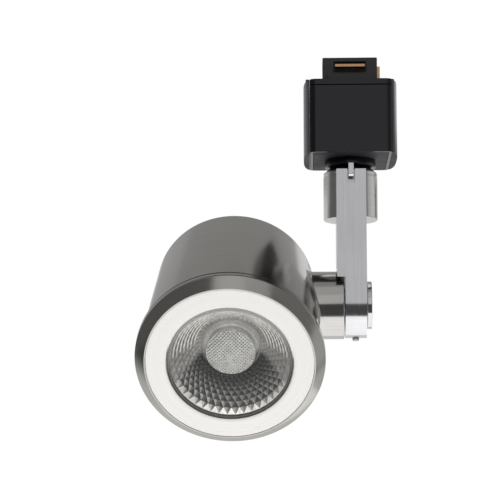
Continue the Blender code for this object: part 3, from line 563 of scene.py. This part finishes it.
# The knuckle's nickel is a lighter copy of the body's, which paints light on that part of the shell.
NICKEL_KNUCKLE_PAINTED_LIGHT = brushed_nickel("nickel_knuckle", "across", (0.58, 0.565, 0.545), (0.68, 0.665, 0.64), 0.16,
                             0.3)
NICKEL_LONG = brushed_nickel("nickel_long", "long", (0.66, 0.66, 0.68), (0.86, 0.86, 0.885), 0.16, 0.0)
NICKEL_COLLAR = brushed_nickel("nickel_collar", "round", (0.68, 0.67, 0.66), (0.80, 0.79, 0.78), 0.2, 0.4)
STEEL = polished_metal("zinc_steel", (0.58, 0.57, 0.55))
ALUMINIUM = polished_metal("bare_aluminium", (0.72, 0.72, 0.73), 0.35)
COPPER = polished_metal("copper_alloy", (0.78, 0.46, 0.26), 0.25)
BLACK_GLOSS = moulded_plastic("black_gloss", (0.007, 0.0075, 0.012), 0.16, 900.0, 0.00002, 0.05)
BLACK_MATTE = moulded_plastic("black_matte", (0.055, 0.055, 0.056), 0.55)
UNDERSIDE = moulded_plastic("black_underside", (0.028, 0.028, 0.028), 0.6, 3200.0, 0.00005, 0.3)
WHITE_PLASTIC = moulded_plastic("white_plastic", (0.80, 0.79, 0.76), 0.5)
CIRCUIT = moulded_plastic("circuit_board", (0.03, 0.16, 0.07), 0.35)
PHOSPHOR = moulded_plastic("led_phosphor", (0.85, 0.58, 0.14), 0.6)
LEAD_BLACK = moulded_plastic("lead_black", (0.03, 0.03, 0.03), 0.45)
LEAD_WHITE = moulded_plastic("lead_white", (0.78, 0.78, 0.76), 0.45)
LEAD_GREEN = moulded_plastic("lead_green", (0.04, 0.26, 0.09), 0.45)
FROSTED = frosted_acrylic("frosted_acrylic")
CLEAR = clear_window("clear_acrylic")
# Painted reflection levels, below and above the hill's edge, for each side of the facet pyramids, the rim row, the
# beads and the lenslets; all of them also glow as painted light.
FACETS = [facet_with_painted_light(f"facet_{label}", below, above) for label, below, above in (
    ("inner_right", 0.03, 0.24), ("outer_right", 0.14, 0.36), ("outer_left", 0.33, 0.44),
    ("inner_left", 0.05, 0.30), ("rim", 0.70, 0.42))]
RIM_GREY = shaded_rim("rim_grey")
BEADS = facet_with_painted_light("beads", 0.12, 0.50, 0.1, (1.0, 1.0))
LENSLETS = facet_with_painted_light("lenslets", 0.37, 0.37, 0.12, (1.0, 1.0))


# ---- head

def radius_between(node, low, high):
    """Largest radius of a head node between two heights along the light's axis."""
    return max(radius for radius, height in turned_points(node, HEAD) if low <= height <= high)


def build_head_body():
    points = turned_points("head_shell", HEAD)
    rear = min(height for _, height in points)
    front = turned_span("front_trim", HEAD)[0] + TRIM_SPIGOT
    front_radius = radius_between("head_shell", front - MM, front + MM)
    rear_radius = max(radius for radius, height in points
                      if height < rear + 4.0 * MM and radius < front_radius)
    edge = front - 0.60 * MM
    inner_radius = rear_radius - BODY_WALL
    body = turned_piece("head_body", [
        (0.0, rear + 0.8 * MM, 0), (rear_radius * 0.62, rear + 0.8 * MM, 0.4 * MM),
        (rear_radius * 0.64, rear, 0.4 * MM), (rear_radius, rear, 3.5 * MM),
        (front_radius, edge, 0.3 * MM), (front_radius - BODY_WALL, edge, 0.3 * MM),
        (inner_radius, rear + BODY_WALL + 1.5 * MM, 0.8 * MM),
        (inner_radius - 1.5 * MM, rear + BODY_WALL, 0.8 * MM), (0.0, rear + BODY_WALL, 0)],
        NICKEL_ROUND, HEAD, 35.0, 8)
    place(body, "head", ["head_shell"])
    build_knuckle(rear, rear_radius, (front_radius - rear_radius) / (front - rear))


def build_knuckle(rear, rear_radius, slope):
    """The round boss on the head's side, with a flare that follows the body's cone."""
    builder = bmesh.new()

    def surface_x(along, across):
        body_radius = rear_radius + slope * (along - rear)
        return HEAD_X + math.sqrt(body_radius ** 2 - across ** 2)

    rings = flare_rings(builder, surface_x) + knuckle_end_rings(builder)
    for first, second in zip(rings, rings[1:]):
        bridge(builder, first, second, FINE)
    builder.faces.new(rings[0])
    builder.faces.new(rings[-1])
    side = Vector((1, 0, 0)).cross(LIGHT_AXIS)
    to_world = Matrix(((1, 0, 0, 0), (0, LIGHT_AXIS.y, side.y, PIVOT.y), (0, LIGHT_AXIS.z, side.z, PIVOT.z),
                       (0, 0, 0, 1)))
    knuckle = new_object("head_knuckle", builder, NICKEL_KNUCKLE_PAINTED_LIGHT, to_world, 40.0)
    place(knuckle, "head", ["head_shell"])


def knuckle_ring(builder, radius, x_at):
    """One ring of the knuckle. x_at gives each point's X from its place along and across the light."""
    ring = []
    for step in range(FINE):
        angle = 2 * math.pi * step / FINE
        along = radius * math.cos(angle)
        across = radius * math.sin(angle)
        ring.append(builder.verts.new((x_at(along, across), along, across)))
    return ring


def flare_rings(builder, surface_x):
    """Rings that start inside the body's wall and run up the flare to the knuckle's straight side."""
    steps = 10
    sunk = 0.6 * MM
    overlap = 0.02 * MM
    rings = [knuckle_ring(builder, KNUCKLE_RADIUS + KNUCKLE_FLARE,
                          lambda along, across: surface_x(along, across) - sunk)]
    for step in range(steps + 1):
        share = step / steps
        turn = 0.5 * math.pi * share
        radius = KNUCKLE_RADIUS + KNUCKLE_FLARE * (1.0 - math.sin(turn))
        lift = KNUCKLE_FLARE * (1.0 - math.cos(turn)) - overlap
        shrink = KNUCKLE_RADIUS / radius

        def flare_x(along, across):
            outer = surface_x(along, across)
            inner = surface_x(shrink * along, shrink * across)
            return outer * (1.0 - share) + inner * share + lift

        rings.append(knuckle_ring(builder, radius, flare_x))
    return rings


def knuckle_end_rings(builder):
    """Rings over the knuckle's rounded end, the seat for the washer and the bore."""
    washer_low, washer_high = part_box("friction_washer")
    washer_radius = turned_span("friction_washer", PIVOT_FRAME)[2]
    end_x = washer_high.x - 0.15 * MM
    seat = end_x - (washer_low.x - 0.1 * MM)
    edge = 0.5 * MM
    corners = ((KNUCKLE_RADIUS, -edge), (KNUCKLE_RADIUS - 0.04 * MM, -edge * 0.5),
               (KNUCKLE_RADIUS - 0.15 * MM, -edge * 0.15), (KNUCKLE_RADIUS - edge, 0.0),
               (washer_radius + 0.4 * MM, 0.0), (washer_radius + 0.3 * MM, -seat),
               (KNUCKLE_BORE + 0.2 * MM, -seat), (KNUCKLE_BORE, -seat - 0.2 * MM),
               (KNUCKLE_BORE, -seat - 2.0 * MM))
    return [knuckle_ring(builder, radius, lambda along, across: end_x + offset)
            for radius, offset in corners]


def groove(radius, top, depth, height, taper=0.05 * MM):
    """Corners of a square groove in a turned side, from its upper edge down."""
    return [(radius, top, taper), (radius - depth, top - taper, 0),
            (radius - depth, top - height + taper, 0), (radius, top - height, taper)]


def build_trim():
    low, face, radius = turned_span("front_trim", HEAD)
    front = low + TRIM_SPIGOT
    ring_low, _, ring_radius = turned_span("diffuser_ring", HEAD)
    seat = ring_low - 0.3 * MM
    face_radius = ring_radius + 0.55 * MM
    band = max(height for near, height in turned_points("front_trim", HEAD) if near > radius - 0.05 * MM)
    spigot = radius_between("front_trim", low - MM, front - 2.0 * MM)
    trim = turned_piece("trim_ring", [
        (face_radius - 0.25 * MM, face, 0.08 * MM), (face_radius + 0.1 * MM, face, 0.15 * MM),
        (radius, band, 0.15 * MM), *groove(radius, band - 0.35 * MM, 0.40 * MM, 0.40 * MM),
        *groove(radius, front + 1.60 * MM, 0.70 * MM, 0.65 * MM),
        (radius, front + 0.75 * MM, 0.05 * MM), (radius - 0.45 * MM, front + 0.3 * MM, 0.1 * MM),
        (spigot, front + 0.3 * MM, 0), (spigot, low, 0.3 * MM), (TRIM_BORE, low, 0.3 * MM),
        (TRIM_BORE, seat, 0), (face_radius - 0.25 * MM, seat, 0)], NICKEL_TRIM, HEAD, 25.0)
    place(trim, "head", ["front_trim"])


def build_diffuser():
    low, face, radius = turned_span("diffuser_ring", HEAD)
    inner = turned_span("lens_rim", HEAD)[2] + 0.3 * MM
    line = radius - 2.2 * MM
    ring = turned_piece("diffuser", [
        (inner, low, 0), (radius, low, 0), (radius, face, 0.35 * MM), (line + 0.25 * MM, face, 0.1 * MM),
        (line, face - 0.10 * MM, 0.1 * MM), (line - 0.25 * MM, face, 0.1 * MM),
        (inner + 0.9 * MM, face, 0.3 * MM), (inner, face - 0.35 * MM, 0.2 * MM)], FROSTED, HEAD)
    place(ring, "head", ["diffuser_ring"])


def build_rim():
    low, face, radius = turned_span("lens_rim", HEAD)
    rim = turned_piece("optic_rim", [
        (radius - 0.75 * MM, low, 0), (radius, low, 0), (radius, face, 0.1 * MM),
        (radius - 0.35 * MM, face, 0.1 * MM), (radius - 0.55 * MM, face - 0.35 * MM, 0.08 * MM),
        (radius - 0.95 * MM, face - 0.35 * MM, 0.08 * MM), (radius - 1.25 * MM, face - 0.6 * MM, 0.05 * MM),
        (radius - 0.75 * MM, face - 0.75 * MM, 0)], RIM_GREY, HEAD, 25.0)
    place(rim, "head", ["lens_rim"])


def build_cover():
    low, high, radius = turned_span("lens_cover", HEAD)
    cover = turned_piece("clear_cover", [(0.0, low, 0), (radius, low, 0.1 * MM), (radius, high, 0.15 * MM),
                                         (0.0, high, 0)], CLEAR, HEAD)
    place(cover, "head", ["lens_cover"])


def build_facets():
    """The faceted cup: rows of diamonds that cross on the way in, each a shallow pyramid."""
    low, high, radius = turned_span("lens_optic", HEAD)
    builder = bmesh.new()
    grid = cup_grid(builder, low, high, radius - 1.0 * MM)
    around = len(grid[0])
    for row in range(len(grid) - 2):
        add_diamond_row(builder, grid, row, around)
    cap_rows(builder, grid, around)
    wall = around * 4
    lip = circle(builder, radius, high, wall)
    foot = circle(builder, radius, low, wall)
    fill_flat(builder, grid[-1], lip)
    bridge(builder, lip, foot, wall)
    fill_flat(builder, grid[0], foot)
    cup = new_object("facet_cup", builder, FACETS, HEAD, 0.0)
    for polygon in cup.data.polygons:
        polygon.use_smooth = False
    place(cup, "head", ["lens_optic"])


def cup_grid(builder, low, high, top_radius):
    """Rings from the cup's foot to its top, each half a step round from the one below."""
    around = 44
    rows = 9
    growth = 1.10
    steps = [growth ** row for row in range(rows)]
    grid = []
    for row in range(rows + 1):
        rise = (sum(steps[:row]) / sum(steps)) ** 1.3
        ring_radius = CUP_FOOT_RADIUS + (top_radius - CUP_FOOT_RADIUS) * rise ** 0.62
        grid.append(circle(builder, ring_radius, low + (high - low) * rise, around, 0.5 * (row % 2)))
    return grid


def fill_flat(builder, outer, inner):
    """Flat faces from a coarse ring to a finer one inside it at the same height."""
    fine = len(inner) // len(outer)
    for k in range(len(outer)):
        arc = [inner[(k * fine + step) % len(inner)] for step in range(fine, -1, -1)]
        builder.faces.new([outer[k], outer[(k + 1) % len(outer)]] + arc)


def add_diamond_row(builder, grid, row, around):
    """Diamonds whose lower tips are in this row and upper tips two rows up."""
    bulge = 0.30 * MM
    lean = Vector((0.0, 0.0, 0.8))
    for k in range(around):
        low_tip = grid[row][k]
        high_tip = grid[row + 2][k]
        first = k if row % 2 else k - 1
        left = grid[row + 1][first]
        right = grid[row + 1][(first + 1) % around]
        middle = (low_tip.co + high_tip.co + left.co + right.co) / 4
        outward = Vector((middle.x, middle.y, 0.0)).normalized() - lean
        centre = builder.verts.new(middle - outward.normalized() * bulge)
        sides = ((low_tip, right), (right, high_tip), (high_tip, left), (left, low_tip))
        for side, (start, end) in enumerate(sides):
            # Each side of the pyramid takes its own copy of the facet material, with its own painted light level.
            builder.faces.new((start, end, centre)).material_index = side


def cap_rows(builder, grid, around):
    """Fill the half diamonds along the cup's two edges."""
    # The top row takes the rim material, which carries a painted highlight along the rim.
    rim_face = 4
    top, under = grid[-1], grid[-2]
    shifted = len(grid) % 2 == 0
    for k in range(around):
        builder.faces.new((grid[0][k], grid[0][(k + 1) % around], grid[1][k]))
        tip = under[(k + 1) % around] if shifted else under[k]
        builder.faces.new((top[k], top[(k + 1) % around], tip)).material_index = rim_face


def build_centre_lens():
    """The round lens in the middle of the cup, with a dome of small square lenslets."""
    low, high, radius = turned_span("centre_lens", HEAD)
    side = 150
    inset = 0.985
    dome = 0.9 * MM
    builder = bmesh.new()
    grid = []
    for row in range(side + 1):
        grid.append([])
        for column in range(side + 1):
            a = 2.0 * column / side - 1.0
            b = 2.0 * row / side - 1.0
            x = radius * inset * a * math.sqrt(1.0 - b * b / 2.0)
            y = radius * inset * b * math.sqrt(1.0 - a * a / 2.0)
            share = math.hypot(x, y) / radius
            relief = lenslet_relief(x, y) if share < 0.97 else 0.0
            grid[-1].append(builder.verts.new((x, y, high - dome * share ** 2 - relief)))
    for lower, upper in zip(grid, grid[1:]):
        for column in range(side):
            builder.faces.new((lower[column], lower[column + 1], upper[column + 1], upper[column]))
    edge = ([grid[0][c] for c in range(side)] + [grid[r][side] for r in range(side)]
            + [grid[side][c] for c in range(side, 0, -1)] + [grid[r][0] for r in range(side, 0, -1)])
    shoulder = high - dome - 0.25 * MM
    wall = [builder.verts.new((point.co.x / inset, point.co.y / inset, shoulder)) for point in edge]
    foot = [builder.verts.new((point.co.x, point.co.y, low)) for point in wall]
    bridge(builder, edge, wall, len(edge))
    bridge(builder, wall, foot, len(edge))
    builder.faces.new(foot)
    lens = new_object("fly_eye_lens", builder, LENSLETS, HEAD, 50.0)
    place(lens, "head", ["centre_lens"])
    build_bead_ring(low, radius)


def lenslet_relief(x, y):
    """How far the surface lies below the lenslets' crowns."""
    pillow = 0.17 * MM
    wave = math.pi / (LENSLET_PITCH * 1.414)
    return pillow * (1.0 - abs(math.sin(wave * (x + y))) * abs(math.sin(wave * (x - y))))


def build_bead_ring(low, radius):
    """A ring of small beads between the centre lens and the cup's foot."""
    teeth = 72
    segments = teeth * 4
    ripple = 0.12 * MM
    inner_radius = radius + 0.1 * MM
    width = CUP_FOOT_RADIUS - 0.1 * MM - inner_radius
    builder = bmesh.new()
    rows = []
    for share, lift in ((0.0, 0.0), (0.0, 2.4), (0.15, 2.9), (0.35, 2.4), (0.6, 1.0), (0.6, 0.0)):
        row = circle(builder, inner_radius + width * share, low + lift * MM, segments)
        for k, point in enumerate(row if share else []):
            outward = Vector((point.co.x, point.co.y, 0.0)).normalized()
            point.co += outward * ripple * math.cos(2 * math.pi * k * teeth / segments)
        rows.append(row)
    for index, row in enumerate(rows):
        bridge(builder, row, rows[(index + 1) % len(rows)], segments)
    ring = new_object("bead_ring", builder, BEADS, HEAD, 30.0)
    place(ring, "head", ["centre_lens"])


# ---- arm

def half_round(radius, end_z, side, steps=72):
    """Outline (y, z) of a bar that ends in a half circle about the pivot: side -1 below it, 1 above it."""
    points = [(-side * radius, end_z), (side * radius, end_z)]
    for step in range(steps + 1):
        angle = math.pi * step / steps
        points.append((side * radius * math.cos(angle), PIVOT.z + side * radius * math.sin(angle)))
    return points


def build_arm():
    low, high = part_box("arm")
    collar_low, collar_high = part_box("collar")
    cover_low, cover_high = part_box("arm_cover")
    lug_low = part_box("stop_lug")[0].z
    pocket_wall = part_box("friction_washer")[1].x + 0.2 * MM
    screw = centre_of("tension_screw")
    prong = collar_high.x - 1.45 * MM
    notch = 1.5 * MM
    gap = Vector((0.3, 0.0, 0.3)) * MM
    pocket_end = PIVOT.z - 2 * POCKET_RADIUS
    arm = new_object("arm_bar", side_prism(half_round(high.y, high.z, -1), low.x, high.x), NICKEL_LONG)
    carve(arm, [
        (rod(1.6 * MM, -BEYOND, 0.0, 24), Matrix.Translation((screw.x, 0.0, PIVOT.z))),
        (block((-BEYOND, -prong, collar_low.z - 0.3 * MM), (BEYOND, prong, 0.0)), None),
        (block((-notch, -BEYOND, lug_low - 2.7 * MM), (notch, 0.0, 0.0)), None),
        (side_prism(half_round(POCKET_RADIUS, pocket_end, 1), low.x - 2 * MM, pocket_wall), None),
        (block(Vector((cover_low.x, -9 * MM, cover_low.z)) - gap,
               Vector((cover_high.x, BEYOND, cover_high.z)) + gap), None),
        (rod(WIRE_HOLE_RADIUS, PIVOT.z + 20 * MM, -40 * MM), None),
        (rod(BOLT_HOLE_RADIUS, -BEYOND, BEYOND), PIVOT_FRAME),
        (rod(CAP_SEAT_RADIUS, high.x - 2.4 * MM, BEYOND), PIVOT_FRAME)])
    soften(arm, 0.3 * MM, 3, 40.0)
    place(arm, "arm", ["arm"])
    build_cap()
    build_tension_screw(screw)
    build_lug()


def build_cap():
    low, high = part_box("pivot_cap")
    thickness = high.x - low.x
    radius = turned_span("pivot_cap", PIVOT_FRAME)[2]
    dip = thickness - 0.25 * MM
    cap = turned_piece("pivot_disc", [
        (0.0, 0.0, 0), (radius - 0.15 * MM, 0.0, 0.05 * MM), (radius, 0.15 * MM, 0.05 * MM),
        (radius, thickness, 0.2 * MM), (radius * 0.72, thickness, 0.2 * MM),
        (radius * 0.70, dip, 0.1 * MM), (radius * 0.66, dip, 0.1 * MM),
        (radius * 0.64, thickness, 0.2 * MM), (0.0, thickness, 0)],
        NICKEL_CAP, Matrix.Translation((low.x, 0.0, 0.0)) @ PIVOT_FRAME, 25.0, 6)
    place(cap, "arm", ["pivot_cap"])


def build_tension_screw(centre):
    low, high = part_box("tension_screw")
    radius = (high.x - low.x) / 2
    socket = radius * 0.42
    screw = turned_piece("domed_screw", [
        (0.0, low.z + 0.55 * MM, 0), (socket, low.z + 0.5 * MM, 0.05 * MM),
        (socket, low.z + 0.05 * MM, 0.05 * MM), (radius * 0.75, low.z, 0.2 * MM),
        (radius, low.z + 0.5 * MM, 0.2 * MM), (radius, high.z, 0), (0.0, high.z, 0)],
        STEEL, Matrix.Translation((centre.x, centre.y, 0.0)), segments=MEDIUM)
    place(screw, "arm", ["tension_screw"])


def build_lug():
    low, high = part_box("stop_lug")
    outline = [(low.y, low.z + 0.9 * MM), (low.y + 0.8 * MM, low.z), (high.y, low.z), (high.y, high.z),
               (low.y + 0.3 * MM, high.z), (low.y, high.z - 0.4 * MM)]
    lug = new_object("stop_tongue", side_prism(outline, low.x, high.x), NICKEL_LONG)
    soften(lug, 0.12 * MM, 2, 30.0)
    place(lug, "arm", ["stop_lug"])


def build_collar():
    low, high, radius = turned_span("collar", SWIVEL)
    arm_low, arm_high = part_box("arm")
    step = high - 1.75 * MM
    ceiling = high - 5.2 * MM
    floor = low + 6 * MM
    collar = turned_piece("swivel_collar", [
        (WIRE_HOLE_RADIUS, low, 0), (radius, low, 0.5 * MM), (radius, step - 0.3 * MM, 0.12 * MM),
        (radius - 0.45 * MM, step - 0.3 * MM, 0.05 * MM), (radius - 0.45 * MM, step, 0.05 * MM),
        (radius - 0.1 * MM, step, 0.12 * MM), (radius - 0.1 * MM, high, 0.5 * MM), (SWIVEL_BORE, high, 0),
        (SWIVEL_BORE, ceiling, 0), (CAP_SEAT_RADIUS, ceiling, 0), (CAP_SEAT_RADIUS, floor, 0),
        (WIRE_HOLE_RADIUS, floor, 0)], NICKEL_COLLAR, None, 25.0)
    flat = radius - 1.9 * MM
    gap = 0.12 * MM
    carve(collar, [(block((arm_low.x - gap, near, low - MM), (arm_high.x + gap, far, 0.0)), None)
                   for near, far in ((-BEYOND, -flat), (flat, BEYOND))])
    shade(collar, 25.0)
    place(collar, "arm", ["collar"])


# ---- adapter

def corner_reach(share):
    """How far out the adapter's rounded end is, 0 to 1, at a share of its depth, and the other way round."""
    return (1.0 - share ** ADAPTER_POWER) ** (1.0 / ADAPTER_POWER)


def sleeve_outline(seam, half_depth, tip):
    """The adapter's rounded plan, cut off straight at its two seams."""
    steps = 28
    flat = tip - ADAPTER_CORNER
    start = math.asin(corner_reach((seam - flat) / ADAPTER_CORNER))
    front = []
    for step in range(steps + 1):
        share = math.sin(math.pi / 2 + (start - math.pi / 2) * step / steps)
        front.append((min(flat + ADAPTER_CORNER * corner_reach(share), seam), -half_depth * share))
    right = front + [(x, -y) for x, y in reversed(front)]
    return right + [(-x, -y) for x, y in right]


def end_outline(side, seam, half_depth, tip):
    """One end of the plan, outside its seam."""
    steps = 40
    flat = tip - ADAPTER_CORNER
    limit = math.asin(corner_reach((seam - flat) / ADAPTER_CORNER))
    points = []
    for step in range(steps + 1):
        share = math.sin(-limit + 2 * limit * step / steps)
        points.append((side * (flat + ADAPTER_CORNER * corner_reach(abs(share))), half_depth * share))
    return points


def paint_underside(obj, height):
    """Give the downward faces at this height the second material."""
    for polygon in obj.data.polygons:
        if polygon.normal.z < -0.9 and abs(polygon.center.z - height) < 0.05 * MM:
            polygon.material_index = 1


def build_adapter():
    low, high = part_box("adapter_housing")
    seam = high.x
    half_depth = high.y
    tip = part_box("lock_tab_right")[1].x
    base_low, base_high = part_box("adapter_base")

    def plan(inset, bottom, top):
        """The adapter's plan, drawn in by the inset, between two heights."""
        return prism(sleeve_outline(seam - inset, half_depth - inset, tip - inset), bottom, top)

    sleeve = new_object("adapter_sleeve", plan(0.0, low.z, high.z), [BLACK_GLOSS, UNDERSIDE])
    carve(sleeve, [
        (plan(2 * MM, base_high.z + 2.3 * MM, 0.0), None),
        (plan(ADAPTER_LIP, low.z - 2 * MM, base_high.z + 0.3 * MM), None),
        (rod(SWIVEL_BORE, low.z - 2 * MM, 0.0), None)])
    soften(sleeve, 0.35 * MM, 3, 50.0)
    place(sleeve, "adapter", ["adapter_housing"])
    base = new_object("adapter_floor", plan(ADAPTER_LIP + 0.12 * MM, base_low.z, base_high.z), UNDERSIDE)
    carve(base, [(rod(SWIVEL_BORE, low.z - 2 * MM, 0.0), None)])
    soften(base, 0.18 * MM, 2, 50.0)
    place(base, "adapter", ["adapter_base"])
    for side, label in ((-1, "left"), (1, "right")):
        build_seam_rib(side, label, seam, low.z, half_depth - 1.5 * MM)
        build_tab(side, label, half_depth, tip)
    build_boss()


def build_seam_rib(side, label, seam, low_z, depth):
    """A rib inside the seam, so that no light comes through beside the tab."""
    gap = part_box("lock_tab_right")[0].x - seam
    near, far = sorted((side * (seam - 0.5 * MM), side * (seam + 0.85 * gap)))
    rib = new_object(f"seam_rib_{label}", block((near, -depth, low_z + 0.1 * MM), (far, depth, -0.1 * MM)),
                     BLACK_MATTE)
    soften(rib, 0.03 * MM, 2, 50.0)
    place(rib, "adapter", ["adapter_housing"])


def build_tab(side, label, half_depth, tip):
    low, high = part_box(f"lock_tab_{label}")
    seam = min(abs(low.x), abs(high.x))
    key_end = side * (seam + 1.5 * MM)
    tab = new_object(f"release_tab_{label}", prism(end_outline(side, seam, half_depth, tip), low.z, 0.0),
                     [BLACK_GLOSS, UNDERSIDE])
    near, far = sorted((side * (seam - MM), key_end))
    carve(tab, [(block((near, -3.5 * MM, -24.3 * MM), (far, 3.5 * MM, -9.7 * MM)), None)])
    soften(tab, 0.35 * MM, 3, 50.0)
    paint_underside(tab, low.z)
    place(tab, f"tab_{label}", [f"lock_tab_{label}"])
    near, far = sorted((side * seam, key_end))
    key = new_object(f"tab_key_{label}", block((near, -4.5 * MM, -0.6 * MM), (far, 4.5 * MM, high.z)),
                     BLACK_GLOSS)
    soften(key, 0.3 * MM, 2, 50.0)
    place(key, f"tab_{label}", [f"lock_tab_{label}"])


def build_boss():
    low, high, radius = turned_span("swivel_boss", SWIVEL)
    boss = turned_piece("boss_ring", [
        (SWIVEL_BORE, low, 0), (radius, low, 0.5 * MM), (radius, high, 0.15 * MM), (SWIVEL_BORE, high, 0)],
        BLACK_GLOSS, None)
    place(boss, "adapter", ["swivel_boss"])
    low, high, radius = turned_span("swivel_washer", SWIVEL)
    washer = turned_piece("boss_shoulder", [
        (SWIVEL_BORE, low, 0), (radius, low, 0.1 * MM), (radius, low + 0.5 * MM, 0.5 * MM),
        (radius - 1.2 * MM, high, 0.4 * MM), (SWIVEL_BORE, high, 0)], BLACK_GLOSS, None)
    slit = 0.15 * MM
    carve(washer, [(block((radius - MM, -slit, low - MM), (radius + MM, slit, high + MM)),
                    Matrix.Rotation(math.radians(angle), 4, "Z")) for angle in (35.0, 145.0, 215.0, 325.0)])
    shade(washer, 30.0)
    place(washer, "adapter", ["swivel_washer"])


# ---- finishes for the nodes that stay

EDGES = {"track_neck": 0.4 * MM, "adapter_top_plate": 0.4 * MM, "terminal_block": 0.3 * MM,
         "arm_cover": 0.2 * MM, "stop_post": 0.2 * MM, "led_emitter": 0.3 * MM}

NODE_FINISHES = (
    (BLACK_GLOSS, "adapter_top_plate"),
    (BLACK_MATTE, "track_neck friction_washer driver_capacitor driver_bridge"),
    (COPPER, "contact_live contact_neutral contact_ground driver_inductor"),
    (WHITE_PLASTIC, "terminal_block optic_holder mixing_chamber thermal_pad"),
    (STEEL, "terminal_screw_1 terminal_screw_2 terminal_screw_3 plate_screw_1 plate_screw_2 stop_post"
            " threaded_nipple lock_washer nipple_nut retaining_nut tab_spring_left tab_spring_right"
            " board_screw_1 board_screw_2 pivot_bolt"),
    (ALUMINIUM, "heat_spreader led_board"),
    (NICKEL_LONG, "arm_cover"),
    (PHOSPHOR, "led_emitter"),
    (CIRCUIT, "driver_board"),
    (LEAD_BLACK, "lead_live"),
    (LEAD_WHITE, "lead_neutral"),
    (LEAD_GREEN, "lead_ground"),
)


def refine_node(node, material, body):
    """A copy of the node's shape with clean faces, softened edges and a finish."""
    builder = bmesh.new()
    builder.from_mesh(NODES[node].data)
    bmesh.ops.remove_doubles(builder, verts=builder.verts, dist=0.001 * MM)
    bmesh.ops.dissolve_limit(builder, angle_limit=math.radians(1.0), verts=builder.verts,
                             edges=builder.edges)
    piece = new_object(f"{node}_fine", builder, material, None, 30.0)
    soften(piece, EDGES.get(node, 0.12 * MM), 2, 40.0)
    place(piece, body, [node])


def refine_nodes():
    """A piece for each node that has none of its own yet."""
    bodies = frame["record"]["behaviour"]["bodies"]
    body_of = {node: body for body, nodes in bodies.items() for node in nodes}
    for material, nodes in NODE_FINISHES:
        for node in nodes.split():
            refine_node(node, material, body_of[node])


# ---- studio

def build_world():
    """Studio surroundings: soft cards placed by direction. The camera itself sees plain white."""
    world = bpy.data.worlds.new("studio")
    bpy.context.scene.world = world
    world.use_nodes = True
    nodes = Tree(world.node_tree)
    direction = nodes.add("ShaderNodeTexCoord").outputs["Generated"]
    x, y, height = nodes.split(direction)
    azimuth = nodes.math("ARCTAN2", x, nodes.times(y, -1.0))
    light = BASE_LEVEL
    for low_a, high_a, soft_a, low_z, high_z, soft_z, level in CARDS:
        sideways = nodes.window(azimuth, math.radians(low_a), math.radians(high_a), math.radians(soft_a))
        card = nodes.times(sideways, nodes.window(height, low_z, high_z, soft_z), level)
        light = nodes.math("MAXIMUM", light, card)
    shaded = nodes.times(dark_wedge(nodes, direction, azimuth, height), WEDGE_DEPTH)
    light = nodes.times(light, nodes.math("SUBTRACT", 1.0, shaded))
    seen = nodes.add("ShaderNodeLightPath").outputs["Is Camera Ray"]
    background = world.node_tree.nodes["Background"]
    nodes.feed(background.inputs["Strength"], nodes.mix(seen, light, 1.0))
    nodes.feed(background.inputs["Color"], (1.0, 1.0, 1.0, 1.0))


def dark_wedge(nodes, direction, azimuth, height):
    """1 inside a ragged wedge that narrows to its tip, 0 outside."""
    everything = 9.0
    tip = math.radians(WEDGE_TIP)
    rag = nodes.math("SUBTRACT", nodes.noise(direction, 30.0, 3.0), 0.5)
    spread = nodes.times(nodes.math("SUBTRACT", tip, azimuth), WEDGE_SLOPE)
    away = nodes.math("ABSOLUTE", nodes.math("SUBTRACT", height, WEDGE_MIDDLE))
    ragged = nodes.math("ADD", away, nodes.times(rag, WEDGE_RAGGED))
    inside = nodes.window(nodes.math("SUBTRACT", spread, ragged), WEDGE_SOFT, everything, WEDGE_SOFT)
    return nodes.times(inside, nodes.window(azimuth, math.radians(WEDGE_BACK), tip, math.radians(1.0)))


def build_stage():
    """A small pale floor that glows a little, well below the fixture."""
    corners = [(-FLOOR_HALF, -FLOOR_HALF), (FLOOR_HALF, -FLOOR_HALF), (FLOOR_HALF, FLOOR_HALF),
               (-FLOOR_HALF, FLOOR_HALF)]
    builder = bmesh.new()
    builder.faces.new([builder.verts.new((x, y, CAD_LOW.z - FLOOR_DROP)) for x, y in corners])
    paper = moulded_plastic("floor_paper", (0.82, 0.82, 0.81), 0.7, 300.0, glow=FLOOR_GLOW)
    new_object("floor", builder, paper, None, 0.0)


def build_camera():
    yaw, pitch, distance = math.radians(-2.0), math.radians(8.4), 0.683
    aim = Vector((-0.0405, 0.0, -0.0655))
    camera = bpy.data.cameras.new("camera")
    camera.sensor_width = 36.0
    camera.lens = 122.4
    obj = add_object("camera", camera)
    forward = Vector((math.sin(yaw) * math.cos(pitch), math.cos(yaw) * math.cos(pitch), math.sin(pitch)))
    obj.location = aim - forward * distance
    obj.rotation_euler = forward.to_track_quat("-Z", "Y").to_euler()
    bpy.context.scene.camera = obj


def build_lights():
    aim = Vector((-0.03, 0.0, -0.07))
    for name, location, size, energy in (
            ("key_softbox", (0.35, -0.9, 0.55), 0.6, 2.0), ("fill_softbox", (-0.9, -0.5, 0.1), 0.7, 1.0)):
        light = bpy.data.lights.new(name, "AREA")
        light.shape = "SQUARE"
        light.size = size
        light.energy = energy
        obj = add_object(name, light)
        obj.location = location
        obj.rotation_euler = (aim - obj.location).to_track_quat("-Z", "Y").to_euler()
        obj.visible_glossy = False


def main():
    bpy.context.scene.view_settings.view_transform = "Standard"
    build_camera()
    build_head_body()
    build_trim()
    build_diffuser()
    build_rim()
    build_cover()
    build_facets()
    build_centre_lens()
    build_arm()
    build_collar()
    build_adapter()
    refine_nodes()
    build_world()
    build_stage()
    build_lights()


main()
